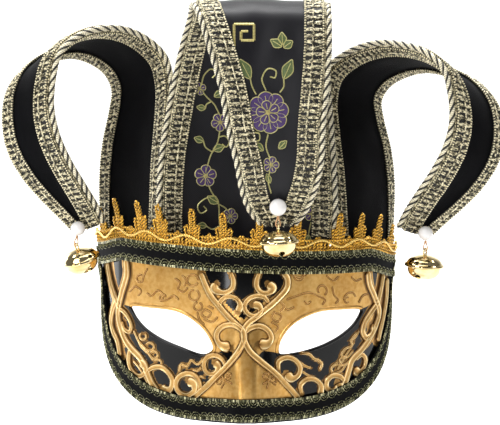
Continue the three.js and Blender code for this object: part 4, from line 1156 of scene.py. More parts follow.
def looped_margin(work, spots, outs, way, pitch, tag):
    """Thread loops along a margin: two rows of arches, the edge thread and short stitches.
    spots are the margin's points, way the direction of the loops at each, in the braid's face."""
    lengths = run_lengths(spots)
    total = lengths[-1]
    loops = max(1, round(total / pitch))
    pitch = total / loops

    def at(length):
        k, part = place_in(lengths, length)
        part = min(max(part, 0.0), 1.0)
        return (spots[k].lerp(spots[k + 1], part), outs[k].lerp(outs[k + 1], part).normalized(),
                way[k].lerp(way[k + 1], part).normalized())

    for n in range(loops):
        middle = (n + 0.5) * pitch
        for radius, rise in ((0.47, 3.0), (0.24, 1.5)):
            line, normals = [], []
            for k in range(13):
                turn = math.pi * k / 12
                length = min(max(middle - radius * pitch * math.cos(turn) * (1 + 0.12 * math.sin(turn)),
                                 0.0), total)
                spot, out, up = at(length)
                line.append(spot + up * (0.3 + rise * math.sin(turn)) + out * 0.32)
                normals.append(out)
            work.tube(line, 0.24, 4, tag=tag, out=normals)
        for offset in (-0.3, 0.0, 0.3):
            spot, out, up = at(min(max(middle + offset * pitch, 0.0), total))
            line = [spot + up * (0.1 + 1.1 * share) + out * (0.22 + 0.1 * share) for share in (0.0, 0.5, 1.0)]
            work.tube(line, 0.22, 4, tag=tag, out=[out] * 3)
    # The corded edge
    steps = max(4, round(total / 0.8))
    for shift, phase in ((0.0, 0.0), (-0.75, 1.6)):
        line, normals = [], []
        for k in range(steps + 1):
            spot, out, up = at(total * k / steps)
            line.append(spot + up * shift + out * (0.32 + 0.08 * math.sin(k * 1.9 + phase)))
            normals.append(out)
        work.tube(line, lambda length: 0.38 + 0.1 * math.sin(length * 3.4), 5, tag=tag, out=normals)


class MASK_OT_brow_braid(bpy.types.Operator):
    """Lays the black braid with its thread loops across the brow"""
    bl_idname = "mask.brow_braid"
    bl_label = "Brow braid"

    def execute(self, context):
        pitch = context.scene.mask_sizes.loop_pitch / MM
        end = FACE_HALF - 2.5
        count = 220
        places = [end * math.sin((2 * k / count - 1) * math.pi / 2) for k in range(count + 1)]
        strip = Work()
        shares = [-1.0, -0.9, -0.6, -0.3, 0.0, 0.3, 0.6, 0.9, 1.0]
        rows = []
        lengths = run_lengths([on_face(x, brow_z(x), 1.0) for x in places])
        for x in places:
            z = brow_z(x)
            front = [on_face(x, z + share * BRAID_HALF, GAP + 1.5 - 0.5 * abs(share) ** 6)
                     for share in shares]
            back = [on_face(x, z + share * BRAID_HALF, GAP) for share in reversed(shares)]
            rows.append(front + back)
        us = [share * BRAID_HALF for share in shares + shares[::-1]] + [-BRAID_HALF]
        strip.bar(rows, us, lengths)
        for share, way in ((-0.9, 1), (0.9, -1)):
            spots = [on_face(x, brow_z(x) + share * BRAID_HALF, GAP + 1.3) for x in places]
            outs = [face_out(x, brow_z(x) + share * BRAID_HALF) for x in places]
            ways = []
            for x in places:
                up = on_face(x, brow_z(x) + 1, GAP) - on_face(x, brow_z(x) - 1, GAP)
                ways.append(up.normalized() * way)
            looped_margin(strip, spots, outs, ways, pitch, 1)
        piece = strip.piece("looped_brow_braid", [MATERIALS["black_braid"], MATERIALS["olive_thread"]],
                            weld=0)
        hand_in(piece, "black_braid", "brow_braid")
        return {"FINISHED"}


class MASK_OT_rim_braid(bpy.types.Operator):
    """Folds the black braid with its thread loops over the rim"""
    bl_idname = "mask.rim_braid"
    bl_label = "Rim braid"

    def execute(self, context):
        pitch = context.scene.mask_sizes.loop_pitch / MM
        count = 340
        strip = Work()
        rows, centre, spots = [], [], {"inner": [], "outer": []}
        shares = [2 * k / count - 1 for k in range(count + 1)]
        for share in shares:
            rim, top = rim_point(share), top_point(share)
            if rim[1] >= brow_z(rim[0]) - BRAID_HALF - GAP - 1.5:
                continue
            long = math.hypot(top[0] - rim[0], top[1] - rim[1])
            dx, dz = (top[0] - rim[0]) / long, (top[1] - rim[1]) / long

            def spot(inwards, out):
                return on_face(rim[0] + dx * inwards, rim[1] + dz * inwards, out)

            front = GAP + 0.35
            outer = [spot(12.0, front), spot(11.9, front + 0.9), spot(11.2, front + 1.4),
                     spot(8.0, front + 1.5),
                     spot(4.5, front + 1.5), spot(1.0, front + 1.5), spot(-0.9, front + 1.3),
                     spot(-1.7, front + 0.5),
                     spot(-1.8, -SHELL_WALL / 2), spot(-1.7, -SHELL_WALL - 1.1),
                     spot(-0.9, -SHELL_WALL - 1.9),
                     spot(1.0, -SHELL_WALL - 2.1), spot(4.0, -SHELL_WALL - 2.0)]
            inner = [spot(4.0, -SHELL_WALL - GAP), spot(-0.3, -SHELL_WALL - GAP), spot(-0.3, front),
                     spot(6.0, front)]
            rows.append(outer + inner)
            centre.append(outer[4])
            out = face_out(rim[0], rim[1])
            inwards = (spot(8.0, front + 1.5) - spot(4.0, front + 1.5)).normalized()
            spots["inner"].append((spot(10.9, front + 1.25), out, -inwards))
            spots["outer"].append((spot(0.6, front + 1.3), out, inwards))
        strip.bar(rows, run_lengths(rows[0] + rows[0][:1]), run_lengths(centre))
        for name in ("inner", "outer"):
            points, outs, ways = zip(*spots[name])
            looped_margin(strip, list(points), list(outs), list(ways), pitch, 1)
        piece = strip.piece("looped_rim_braid", [MATERIALS["black_braid"], MATERIALS["olive_thread"]], weld=0)
        hand_in(piece, "black_braid", "rim_braid")
        return {"FINISHED"}


def lace_spot(across, tall, out):
    """A place of the lace, by the share of the shell's half width and the height in millimetres."""
    x = across * FACE_HALF
    low = brow_z(x) + BRAID_HALF + GAP
    base = on_face(x, low, 0)
    lean = 3.5 * (max(tall, 0) / LACE_HEIGHT) ** 2
    return base + Vector((0, 0, tall)) + face_out(x, low) * (0.9 + out + lean)


class MASK_OT_crown_lace(bpy.types.Operator):
    """Winds the crown of gold bullion lace with its points and its wavy gimp cord"""
    bl_idname = "mask.crown_lace"
    bl_label = "Crown lace"

    def execute(self, context):
        chance = random.Random(context.scene.mask_sizes.seed)
        thick = context.scene.mask_sizes.bullion / MM
        lace = Work()

        def coil(points, radius, tag=0):
            line = evenly([lace_spot(*p) for p in points], 0.36)
            lace.tube(line, lambda length: radius
                      * (1 + 0.36 * math.sin(length * 2 * math.pi / BULLION_TURN)), 5, tag=tag)

        def per(x):
            """Millimetres along the brow as a share of the half width, near a place."""
            slope = (face_y((x + 0.01) * FACE_HALF, 25) - face_y((x - 0.01) * FACE_HALF, 25)) / (0.02
                                                                                                 * FACE_HALF)
            return 1 / (FACE_HALF * math.hypot(1, slope))

        edges = [-0.99] + [(a[0] + b[0]) / 200 for a, b in zip(LACE_POINTS, LACE_POINTS[1:])] + [0.99]
        for k, (centre, tall) in enumerate(LACE_POINTS):
            middle, top = centre / 100, tall / 100 * LACE_HEIGHT
            one = per(middle)
            lean = chance.uniform(-0.6, 0.6) * one
            wide = 1.35 * one
            # The tall finger: a loop with a zigzag of bullion between its sides
            coil([(middle - wide, 2.0, 0.0), (middle - wide + lean * 0.5, top * 0.55, 0.2),
                  (middle - wide * 0.8 + lean, top - 1.9, 0.1), (middle + lean, top - 0.6, 0.0),
                  (middle + wide * 0.8 + lean, top - 1.9, 0.1), (middle + wide + lean * 0.5, top * 0.55, 0.2),
                  (middle + wide, 2.0, 0.0)], thick / 2)
            steps = int((top - 4) / 1.1)
            coil([(middle + lean * k / steps + wide * 0.5 * (-1) ** k, 2.4 + 1.1 * k, 0.6)
                  for k in range(steps)], thick * 0.3)
            # A shorter loop on each side that curls outwards, and a low one beyond it
            for way, edge in ((-1, edges[k]), (1, edges[k + 1])):
                room = abs(edge - middle)
                near = middle + way * min(3.1 * one, room * 0.62)
                reach = top * chance.uniform(0.54, 0.66)
                wide_here = 0.85 * one * way
                coil([(near - wide_here, 2.0, -0.2), (near - wide_here, reach * 0.6, 0.0),
                      (near - wide_here * 0.5, reach - 0.9, 0.0), (near + wide_here * 0.6, reach - 0.2, 0.1),
                      (near + wide_here * 1.5, reach - 1.4, 0.2), (near + wide_here * 1.2, reach - 3.0, 0.3),
                      (near + wide_here * 0.7, reach * 0.5, 0.2), (near + wide_here, 2.0, 0.0)], thick * 0.46)
                low_at = middle + way * room * 0.93
                rise = chance.uniform(6.6, 8.2)
                coil([(low_at - 0.9 * one, 2.0, 0.0), (low_at - 0.8 * one, rise - 1.0, 0.1),
                      (low_at, rise, 0.0),
                      (low_at + 0.8 * one, rise - 1.0, 0.1), (low_at + 0.9 * one, 2.0, 0.0)], thick * 0.42)
        # The foot: upright coils side by side, held by three rows along
        x = -0.985
        while x < 0.985:
            one = per(x)
            height = 6.6 + chance.uniform(-0.6, 0.6)
            lean = chance.uniform(-0.4, 0.4) * one
            coil([(x, 0.2, 0.0), (x + lean, height * 0.5, 0.3), (x + lean * 2, height, 0.0)], thick * 0.44)
            x += 2.3 * one
        for high in (0.7, 6.4):
            coil([(k / 40 * 0.985 - 0.985, high + chance.uniform(-0.3, 0.3), 0.55) for k in range(81)],
                 thick * 0.34)
        # The gimp cord that waves along the foot
        wave, length, place = [], 0.0, -0.985
        while place < 0.985:
            wave.append((place, 4.4 + 2.0 * math.sin(length / 26.0 * 2 * math.pi), 1.35))
            move = 1.6
            place += move * per(place)
            length += move
        line = evenly([lace_spot(*p) for p in wave], 0.9)
        lace.tube(line, 0.72, 8, tag=1)
        piece = lace.piece("bullion_lace", [MATERIALS["lace"], MATERIALS["gimp"]], weld=0)
        hand_in(piece, "gold_lace", "crown_lace")
        return {"FINISHED"}


def seen(point):
    """Where the drawing shows a place."""
    away = point - Vector((0, -VIEW_AWAY * math.cos(TILT), VIEW_AWAY * math.sin(TILT)))
    depth = away.y * math.cos(TILT) - away.z * math.sin(TILT)
    high = away.y * math.sin(TILT) + away.z * math.cos(TILT)
    return Vector((DRAWN_X + away.x * VIEW_AWAY / depth / VIEW_UNIT,
                   DRAWN_Y - high * VIEW_AWAY / depth / VIEW_UNIT))


class Cloth:
    """The cloth of a horn as rows of points, and the places on it that the drawing shows."""

    def __init__(self, name):
        count, folds = CLOTH_ROWS, CLOTH_FOLDS
        sections = horn_sections(name, count, folds)
        self.us = run_lengths(sections[0].line)
        self.vs = run_lengths([s.line[folds // 2] for s in sections])
        self.rows, self.outs = [], []
        kind = {"left": 3.0, "right": 6.0, "centre": 9.0}[name]
        for s, length in zip(sections, self.vs):
            row, outs = [], []
            for j, point in enumerate(s.line):
                # Soft unevenness of padded cloth, none at the edges where the braid holds it
                share = 4 * (j / folds) * (1 - j / folds)
                ripple = noise.noise(Vector((self.us[j] * 0.06, length * 0.045, kind)))
                row.append(point + s.out * (ripple * 0.9 * share))
                across = s.line[min(j + 1, folds)] - s.line[max(j - 1, 0)]
                outs.append(across.cross(s.along).normalized())
            self.rows.append(row)
            self.outs.append(outs)
        self.top = max(range(count + 1), key=lambda k: self.rows[k][folds // 2].z)
        self.trees = {}
        for hanging in (False, True):
            kept = [k for k in range(count + 1) if (k >= self.top) == hanging]
            tree = kdtree.KDTree(len(kept) * (folds + 1))
            for k in kept:
                for j, point in enumerate(self.rows[k]):
                    spot = seen(point)
                    tree.insert((spot.x, spot.y, 0), k * (folds + 1) + j)
            tree.balance()
            self.trees[hanging] = tree

    def pin(self, spot, hanging, lift, behind=False):
        """The place on the cloth that the drawing shows at a spot, lifted off its near side."""
        _, index, _ = self.trees[hanging].find((spot[0], spot[1], 0))
        k, j = divmod(index, CLOTH_FOLDS + 1)
        beside = j + 1 if j < CLOTH_FOLDS else j - 1
        above = k + 1 if k < len(self.rows) - 1 else k - 1
        here = self.rows[k][j]
        start = seen(here)
        right, up = seen(self.rows[k][beside]) - start, seen(self.rows[above][j]) - start
        move = Vector((spot[0], spot[1])) - start
        span = right.x * up.y - right.y * up.x
        a = min(max((move.x * up.y - move.y * up.x) / span, -1.5), 1.5)
        b = min(max((right.x * move.y - right.y * move.x) / span, -1.5), 1.5)
        point = here + (self.rows[k][beside] - here) * a + (self.rows[above][j] - here) * b
        out = self.outs[k][j]
        out = (out + (self.outs[k][beside] - out) * a + (self.outs[above][j] - out) * b).normalized()
        if (out.y > 0) != behind:
            out = -out
        return point + out * (CLOTH_WALL / 2 + lift)


class MASK_OT_horns(bpy.types.Operator):
    """Drapes the cloth of the three horns, once the braids, cords and motifs sewn on it are there"""
    bl_idname = "mask.horns"
    bl_label = "Horns"

    def execute(self, context):
        for name in HORNS:
            cloth = Cloth(name)
            work = Work()
            work.grid(cloth.rows, cloth.us, cloth.vs)
            kind = "satin" if name == "centre" else "velvet"
            piece = work.piece(f"cloth_horn_{name}", [MATERIALS[kind]], weld=0)
            apply_modifier(piece, "SOLIDIFY", thickness=CLOTH_WALL * MM, offset=0.0, use_even_offset=True)
            finish(piece, 50)
            hand_in(piece, "brocade" if name == "centre" else "black_velvet", f"horn_{name}")
        return {"FINISHED"}


def petal(x, y, turn, near, far, wide, shape=((0.0, 0.2), (0.3, 0.7), (0.62, 1.0), (0.88, 0.72), (1.0, 0.0))):
    """The outline of a petal or leaf that grows from a point at an angle in degrees."""
    along = Vector((math.cos(math.radians(turn)), -math.sin(math.radians(turn)), 0))
    side = Vector((-along.y, along.x, 0))
    found = []
    for way, stops in ((1, shape), (-1, tuple(reversed(shape))[1:])):
        for share, half in stops:
            found.append(Vector((x, y, 0)) + along * mix(near, far, share) + side * (way * wide * half))
    return found


# Leaf: foot, widest part and tip as (share of the length, share of the half width)
LEAF = ((0.0, 0.08), (0.25, 0.75), (0.5, 1.0), (0.8, 0.5), (1.0, 0.0))
# Blossoms: hanging or not, place, petals, reach, half width and first angle
BLOSSOMS = [
    (True, 268, 112, 8, 21, 7.6, 10), (True, 268, 112, 5, 12, 4.6, 30), (True, 271, 164, 5, 8, 3.4, 0),
    (False, 205, 176, 5, 11, 4.8, 15), (False, 220, 122, 5, 9, 3.9, 50), (False, 230, 216, 5, 7.5, 3.3, 0),
    (False, 199, 88, 4, 6.5, 3.0, 20), (False, 313, 214, 4, 7.5, 3.4, 40),
]
# Leaves: hanging or not, foot, angle, length and half width
LEAVES = [
    (True, 250, 78, 118, 22, 6.0), (True, 284, 78, 66, 21, 5.6), (True, 282, 46, 150, 13, 4.4),
    (True, 284, 47, 35, 11, 4.2),
    (True, 283, 44, 95, 12, 4.2), (True, 263, 150, 140, 12, 3.6), (True, 279, 148, 45, 11, 3.5),
    (True, 270, 182, 110, 10, 2.6),
    (False, 218, 203, 150, 13, 4.2), (False, 213, 150, 20, 12, 4.0), (False, 203, 141, 160, 10, 3.4),
    (False, 214, 96, 30, 11, 3.4),
    (False, 205, 108, 170, 9, 3.0), (False, 206, 226, 170, 9, 3.0), (False, 311, 190, 70, 12, 3.6),
    (False, 310, 235, 250, 8, 3.0),
]
# Vines and tendrils: hanging or not, and the line
VINES = [
    (True, [(268, 134), (266, 146), (270, 158)]), (True, [(270, 170), (268, 180), (271, 192)]),
    (True, [(256, 94), (252, 86), (250, 78)]), (True, [(280, 92), (284, 86), (284, 78)]),
    (True, [(266, 90), (262, 78), (268, 68), (276, 70), (275, 77), (270, 76)]),
    (True, [(248, 128), (252, 138), (259, 140), (259, 133), (254, 132)]),
    (False, [(222, 238), (219, 222), (218, 204), (210, 190), (206, 180)]),
    (False, [(206, 170), (210, 156), (217, 143), (220, 128)]),
    (False, [(220, 116), (214, 104), (207, 97), (201, 90)]),
    (False, [(218, 204), (225, 208), (229, 213)]),
    (False, [(214, 196), (204, 199), (197, 206), (200, 213), (206, 210), (203, 206)]),
    (False, [(212, 152), (205, 147), (203, 141)]),
    (False, [(218, 137), (225, 136), (229, 142), (226, 147), (222, 144)]),
    (False, [(211, 101), (206, 104), (205, 108)]), (False, [(219, 226), (212, 229), (206, 226)]),
    (False, [(201, 84), (204, 74), (211, 68), (216, 72), (212, 77)]), (False, [(312, 222), (309, 236)]),
    (False, [(313, 206), (310, 198), (311, 190)]),
]
# The key pattern near the fold
KEY = [(234, 46), (234, 24), (254, 24), (254, 40), (241, 40), (241, 31), (248, 31)]


def lay_thread(work, cloth, line, hanging, radius, tag, lift=0.1, closed=False, behind=False):
    spots = evenly(flat(line), 1.3, closed=closed)
    work.tube([cloth.pin(p, hanging, lift, behind) for p in spots], radius, 4, closed=closed, tag=tag)


def lay_patch(work, cloth, outline, hanging, rise, tag, behind=False):
    """A padded patch of weft that rises from its outline to its middle."""
    line = evenly(outline, 1.9, closed=True)
    centre = sum(line, Vector()) / len(line)
    rings = [(1.0, -0.3), (0.99, rise * 0.5), (0.86, rise), (0.45, rise * 1.15), (0.1, rise * 1.2)]
    rows = [[cloth.pin(centre.lerp(p, share), hanging, lift, behind) for p in line] for share, lift in rings]
    us = run_lengths(rows[0] + rows[0][:1])
    work.bar(rows, us, [0.0, 0.3, 1.0, 3.0, 5.0], tag)


class MASK_OT_brocade(bpy.types.Operator):
    """Weaves blossoms, leaves, vines and a key pattern on the middle horn"""
    bl_idname = "mask.brocade"
    bl_label = "Brocade"

    def execute(self, context):
        cloth = Cloth("centre")
        work = Work()
        for behind in (False, True):
            for hanging, x, y, count, far, wide, turn in BLOSSOMS:
                if behind and hanging:
                    continue
                lift = 0.85 if far == 12 else 0.4
                for k in range(count):
                    outline = petal(x, y, turn + 360 * k / count, far * 0.18, far, wide)
                    lay_patch(work, cloth, outline, hanging, lift, 0, behind)
                    lay_thread(work, cloth, outline, hanging, 0.28, 3, lift * 0.6, True, behind)
                    tip = petal(x, y, turn + 360 * k / count, far * 0.3, far * 0.8, 0.2)
                    lay_thread(work, cloth, [tip[0], tip[4]], hanging, 0.22, 3, lift * 1.3, False, behind)
                lay_patch(work, cloth, petal(x - far * 0.16, y, 0, 0, far * 0.32, far * 0.17), hanging,
                          lift * 1.6, 2, behind)
            for hanging, x, y, turn, long, wide in LEAVES:
                if behind and hanging:
                    continue
                outline = petal(x, y, turn, 0, long, wide, LEAF)
                lay_patch(work, cloth, outline, hanging, 0.35, 1, behind)
                lay_thread(work, cloth, outline, hanging, 0.28, 3, 0.25, True, behind)
                lay_thread(work, cloth, [outline[0].lerp(outline[-1], 0.5),
                                         outline[4].lerp(outline[0], 0.2)], hanging,
                           0.22, 3, 0.5, False, behind)
            for hanging, line in VINES:
                if not (behind and hanging):
                    lay_thread(work, cloth, line, hanging, 0.4, 3, 0.15, False, behind)
        for a, b in zip(KEY, KEY[1:]):
            lay_thread(work, cloth, [a, b], True, 0.75, 2, 0.0)
        piece = work.piece("brocade_motifs", [MATERIALS["petal"], MATERIALS["leaf"], MATERIALS["gold_weft"],
                                             MATERIALS["outline"]], weld=0)
        hand_in(piece, "brocade")
        return {"FINISHED"}


class EdgeRun:
    """Even places along an edge of a horn above the shell, and points beside them."""

    def __init__(self, name, at_back, spacing):
        edges = [s.edge(at_back) for s in free_sections(name, 420)]
        lengths = run_lengths([edge[0] for edge in edges])
        self.length = lengths[-1]
        self.count = max(8, round(self.length / spacing))
        self.every = self.length / self.count
        # Seen narrower on the side horns, and narrowest on their back edges
        self.width = EDGE_BRAID + 0.6 if name == "centre" else 5.8 if at_back else 8.0
        self.places = []
        for n in range(self.count + 1):
            k, part = place_in(lengths, self.every * n)
            a, b = edges[k], edges[k + 1]
            self.places.append((a[0].lerp(b[0], part), a[1].lerp(b[1], part).normalized(),
                                a[2].lerp(b[2], part).normalized(), mix(a[3], b[3], part)))

    def leg(self, length):
        return min(self.width, self.at(length)[3] / 2 - GAP)

    def at(self, length):
        spot = min(max(length / self.every, 0.0), self.count - 1e-6)
        k = int(spot)
        a, b, part = self.places[k], self.places[k + 1], spot - k
        return (a[0].lerp(b[0], part), a[1].lerp(b[1], part), a[2].lerp(b[2], part), mix(a[3], b[3], part))

    def point(self, length, across, high):
        spot, off, face, _ = self.at(length)
        return spot + off * across + face * high


class MASK_OT_edge_braids(bpy.types.Operator):
    """Folds the metallic braid over the edges of the horns, with its ribs, middle line and knotted margins"""
    bl_idname = "mask.edge_braids"
    bl_label = "Edge braids"

    def execute(self, context):
        pitch = context.scene.mask_sizes.rib_pitch / MM
        chance = random.Random(context.scene.mask_sizes.seed + 1)
        wall, top = CLOTH_WALL / 2 + 0.27, 2.35
        for name in HORNS:
            for at_back in (False, True):
                run = EdgeRun(name, at_back, pitch / 3)
                braid, rows, vs = Work(), [], []
                for n in range(run.count + 1):
                    length = n * run.every
                    leg = run.leg(length)
                    section = [(-leg, wall), (-leg - 0.2, top - 0.5), (-leg + 0.4, top),
                               (-leg * 0.5, top - 0.1), (0.4, top),
                               (1.35, top * 0.7), (1.65, 0.0)]
                    section += [(a, -b) for a, b in reversed(section[:-1])] + [(0.33, -wall), (0.33, wall)]
                    rows.append([run.point(length, a, b) for a, b in section])
                    vs.append(length)
                braid.bar(rows, run_lengths(rows[0] + rows[0][:1]), vs)
                ribs = int(run.length / pitch)
                for side in (1, -1):
                    for n in range(ribs):
                        middle = (n + 0.5) * pitch + chance.uniform(-0.25, 0.25)
                        leg = run.leg(middle)
                        slant = chance.uniform(-0.7, 0.7)
                        for thread_at in (-1, 0, 1):
                            line = []
                            wobble = [chance.uniform(-0.28, 0.28) for _ in range(7)]
                            for k in range(7):
                                share = k / 6
                                bow = abs(math.sin(2 * math.pi * share))
                                spread = thread_at * (0.28 + 0.4 * bow) + slant * (share - 0.5) + wobble[k]
                                high = top + 0.05 + 0.3 * bow * (1.0 - 0.35 * abs(thread_at))
                                line.append(run.point(middle + spread, mix(0.8, -leg + 0.5, share),
                                                      side * high))
                            braid.tube(line, 0.3, 4, tag=1)
                    steps = round(run.length / 0.75)
                    # Middle line, both margins and the pale thread that hides the rolled edge
                    for share, beyond, high, radius, tag in ((0.5, 0.0, 0.35, 0.42, 1),
                                                             (0.95, 0.0, 0.1, 0.5, 2),
                                                             (0.0, 0.9, 0.0, 0.5, 2),
                                                             (0.0, 1.6, -1.2, 0.62, 1)):
                        line = []
                        for k in range(steps + 1):
                            length = run.length * k / steps
                            across = beyond - run.leg(length) * share + 0.16 * math.sin(length * 3.7)
                            line.append(run.point(length, across, side * (top + high)))
                        braid.tube(line, lambda length: radius * (1 + 0.25 * math.sin(length * 3.9)), 4,
                                   tag=tag)
                end = "back" if at_back else "front"
                piece = braid.piece(f"ribbed_braid_{name}_{end}",
                                    [MATERIALS["braid_ground"], MATERIALS["rib_thread"],
                                                                  MATERIALS["knots"]], weld=0)
                hand_in(piece, "silver_braid", f"edge_braid_{name}_{end}")
        return {"FINISHED"}


class MASK_OT_edge_cords(bpy.types.Operator):
    """Twists the ivory, silver and black cord along the edges of the horns"""
    bl_idname = "mask.edge_cords"
    bl_label = "Edge cords"

    def execute(self, context):
        lay = context.scene.mask_sizes.strand_pitch / MM
        for name, at_back in (("left", False), ("right", False), ("centre", False), ("centre", True)):
            line, faces = [], []
            for s in free_sections(name, 300):
                spot, off, face, _ = s.edge(at_back)
                line.append(spot + off * (GAP + 1.2 + GAP + 0.27 + 1.7))
                faces.append(face)
            lengths = run_lengths(line)
            cord = Work()
            steps = max(20, round(lengths[-1] / 0.9))
            for turn, radius, arm, tag in ((0.0, 0.98, 0.85, 0), (0.5, 0.98, 0.85, 0), (0.25, 0.62, 1.1, 1),
                                           (0.75, 0.62, 1.1, 1)):
                strand, outs = [], []
                for n in range(steps + 1):
                    length = lengths[-1] * n / steps
                    k, part = place_in(lengths, length)
                    spot = line[k].lerp(line[k + 1], part)
                    along = (line[k + 1] - line[k]).normalized()
                    face = faces[k].lerp(faces[k + 1], part)
                    face = (face - along * face.dot(along)).normalized()
                    side = along.cross(face)
                    angle = 2 * math.pi * (length / lay + turn)
                    out = face * math.cos(angle) + side * math.sin(angle)
                    strand.append(spot + out * arm)
                    outs.append(out)
                cord.tube(strand, radius, 6, tag=tag, out=outs)
            end = "back" if at_back else "front"
            piece = cord.piece(f"twisted_cord_{name}_{end}",
                               [MATERIALS["strand"], MATERIALS["black_strand"]], weld=0)
            hand_in(piece, "twist_cord", f"edge_cord_{name}_{end}")
        return {"FINISHED"}


DROPS = [
    {"name": "left", "pearl": 8.3, "swing": 9, "lean": -28, "turn": 35},
    {"name": "right", "pearl": 8.3, "swing": 0, "lean": 4, "turn": -30},
    {"name": "centre", "pearl": 9.6, "swing": 0, "lean": -3, "turn": 10},
]
WIRE_DROP = 6.0
BELL_UP = 6.2
BELL_DOWN = 8.4
SHANK_RING = 1.9
SHANK_WIRE = 0.55


def drop_places(drop):
    """Where a pearl and its bell hang, as the matrices from their own frame to the mask's."""
    low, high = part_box(f"pearl_{drop['name']}")
    seat = (Vector(low) + Vector(high)) / 2
    pearl = Matrix.Translation(seat) @ Matrix.Rotation(math.radians(drop["turn"]), 4, "Z")
    pearl = pearl @ Matrix.Rotation(math.radians(drop["swing"]), 4, "Y")
    hang = Matrix.Translation(Vector((0, 0, -drop["pearl"] / 2 - WIRE_DROP + 0.4 + GAP + 0.2)) * MM)
    hang = hang @ Matrix.Rotation(math.radians(drop["lean"]), 4, "Y")
    down = -(BELL_UP + 2 * SHANK_RING - SHANK_WIRE * 0.6 - SHANK_WIRE)
    bell = pearl @ hang @ Matrix.Translation(Vector((0, 0, down)) * MM) @ Matrix.Rotation(math.radians(90),
                                                                                          4, "Z")
    return pearl, bell


def turned(name, profile, segments):
    """A turned shape from (radius, height) in millimetres: a circle extruded and resized."""
    none_selected()
    bpy.ops.mesh.primitive_circle_add(vertices=segments, radius=profile[0][0] * MM, fill_type="NOTHING",
                                      location=(0, 0, profile[0][1] * MM))
    obj = bpy.context.object
    obj.name = obj.data.name = name
    bpy.ops.object.transform_apply(location=True)
    bpy.ops.object.mode_set(mode="EDIT")
    bpy.ops.mesh.select_all(action="SELECT")
    for (before, low), (after, high) in zip(profile, profile[1:]):
        bpy.ops.mesh.extrude_region_move(TRANSFORM_OT_translate={"value": (0, 0, (high - low) * MM)})
        size = after / before
        bpy.ops.transform.resize(value=(size, size, 1), center_override=(0, 0, high * MM))
    bpy.ops.object.mode_set(mode="OBJECT")
    return obj


def tidy_shape(obj):
    """Joins an object's coinciding points and turns its faces outwards."""
    pick(obj)
    bpy.ops.object.mode_set(mode="EDIT")
    bpy.ops.mesh.select_all(action="SELECT")
    bpy.ops.mesh.remove_doubles(threshold=0.00001)
    bpy.ops.mesh.normals_make_consistent(inside=False)
    bpy.ops.object.mode_set(mode="OBJECT")


def copy_of(obj, name, matrix):
    """A copy with its own mesh, its place in its points."""
    made = obj.copy()
    made.data = obj.data.copy()
    made.name = made.data.name = name
    made.data.transform(matrix)
    bpy.context.scene.collection.objects.link(made)
    return made


class MASK_OT_pearls(bpy.types.Operator):
    """Turns the drilled pearls"""
    bl_idname = "mask.pearls"
    bl_label = "Pearls"

    def execute(self, context):
        for drop in DROPS:
            radius, hole = drop["pearl"] / 2, 0.7
            start = math.asin(hole / radius)
            profile = []
            for k in range(25):
                turn = mix(start, math.pi - start, k / 24)
                profile.append((radius * math.sin(turn), -radius * math.cos(turn)))
            profile.append((hole * 0.85, profile[-1][1] - 0.4))
            profile.append((hole * 0.85, profile[0][1] + 0.4))
            profile.append(profile[0])
            pearl = turned("turned_pearl", profile, 48)
            pearl.data.materials.append(MATERIALS["pearl"])
            tidy_shape(pearl)
            place, _ = drop_places(drop)
            piece = copy_of(pearl, f"pearl_bead_{drop['name']}", place)
            bpy.data.objects.remove(pearl)
            finish(piece, 60)
            hand_in(piece, "pearl", f"pearl_{drop['name']}")
        return {"FINISHED"}


class MASK_OT_wires(bpy.types.Operator):
    """Bends the wire through each pearl into its loop"""
    bl_idname = "mask.wires"
    bl_label = "Wires"

    def execute(self, context):
        for drop in DROPS:
            place, _ = drop_places(drop)
            half = drop["pearl"] / 2
            foot, end = -half - 1, -half - WIRE_DROP
            points = []
            for k in range(16):
                turn = 2 * math.pi * k / 16
                low = (1 - math.cos(turn)) / 2
                points.append(Vector((1.7 * math.sin(turn) * (0.35 + 0.65 * low), 0, mix(foot, end, low))))
            work = Work()
            work.tube(evenly(points, 0.35, closed=True), 0.38, 8, closed=True)
            work.tube([Vector((0, 0, z)) for z in (half + 0.1, half * 0.4, -half * 0.4, foot - 0.3)], 0.38, 8)
            # The end is wound round the neck of the loop
            neck = [Vector((0.62 * math.cos(t * 0.7), 0.62 * math.sin(t * 0.7), foot + 0.75 - t * 0.055))
                    for t in range(26)]
            work.tube(neck, 0.24, 6)
            piece = work.piece(f"bent_wire_{drop['name']}", [MATERIALS["wire"]], weld=0)
            piece.data.transform(place)
            hand_in(piece, "gold_wire", f"wire_{drop['name']}")
        return {"FINISHED"}


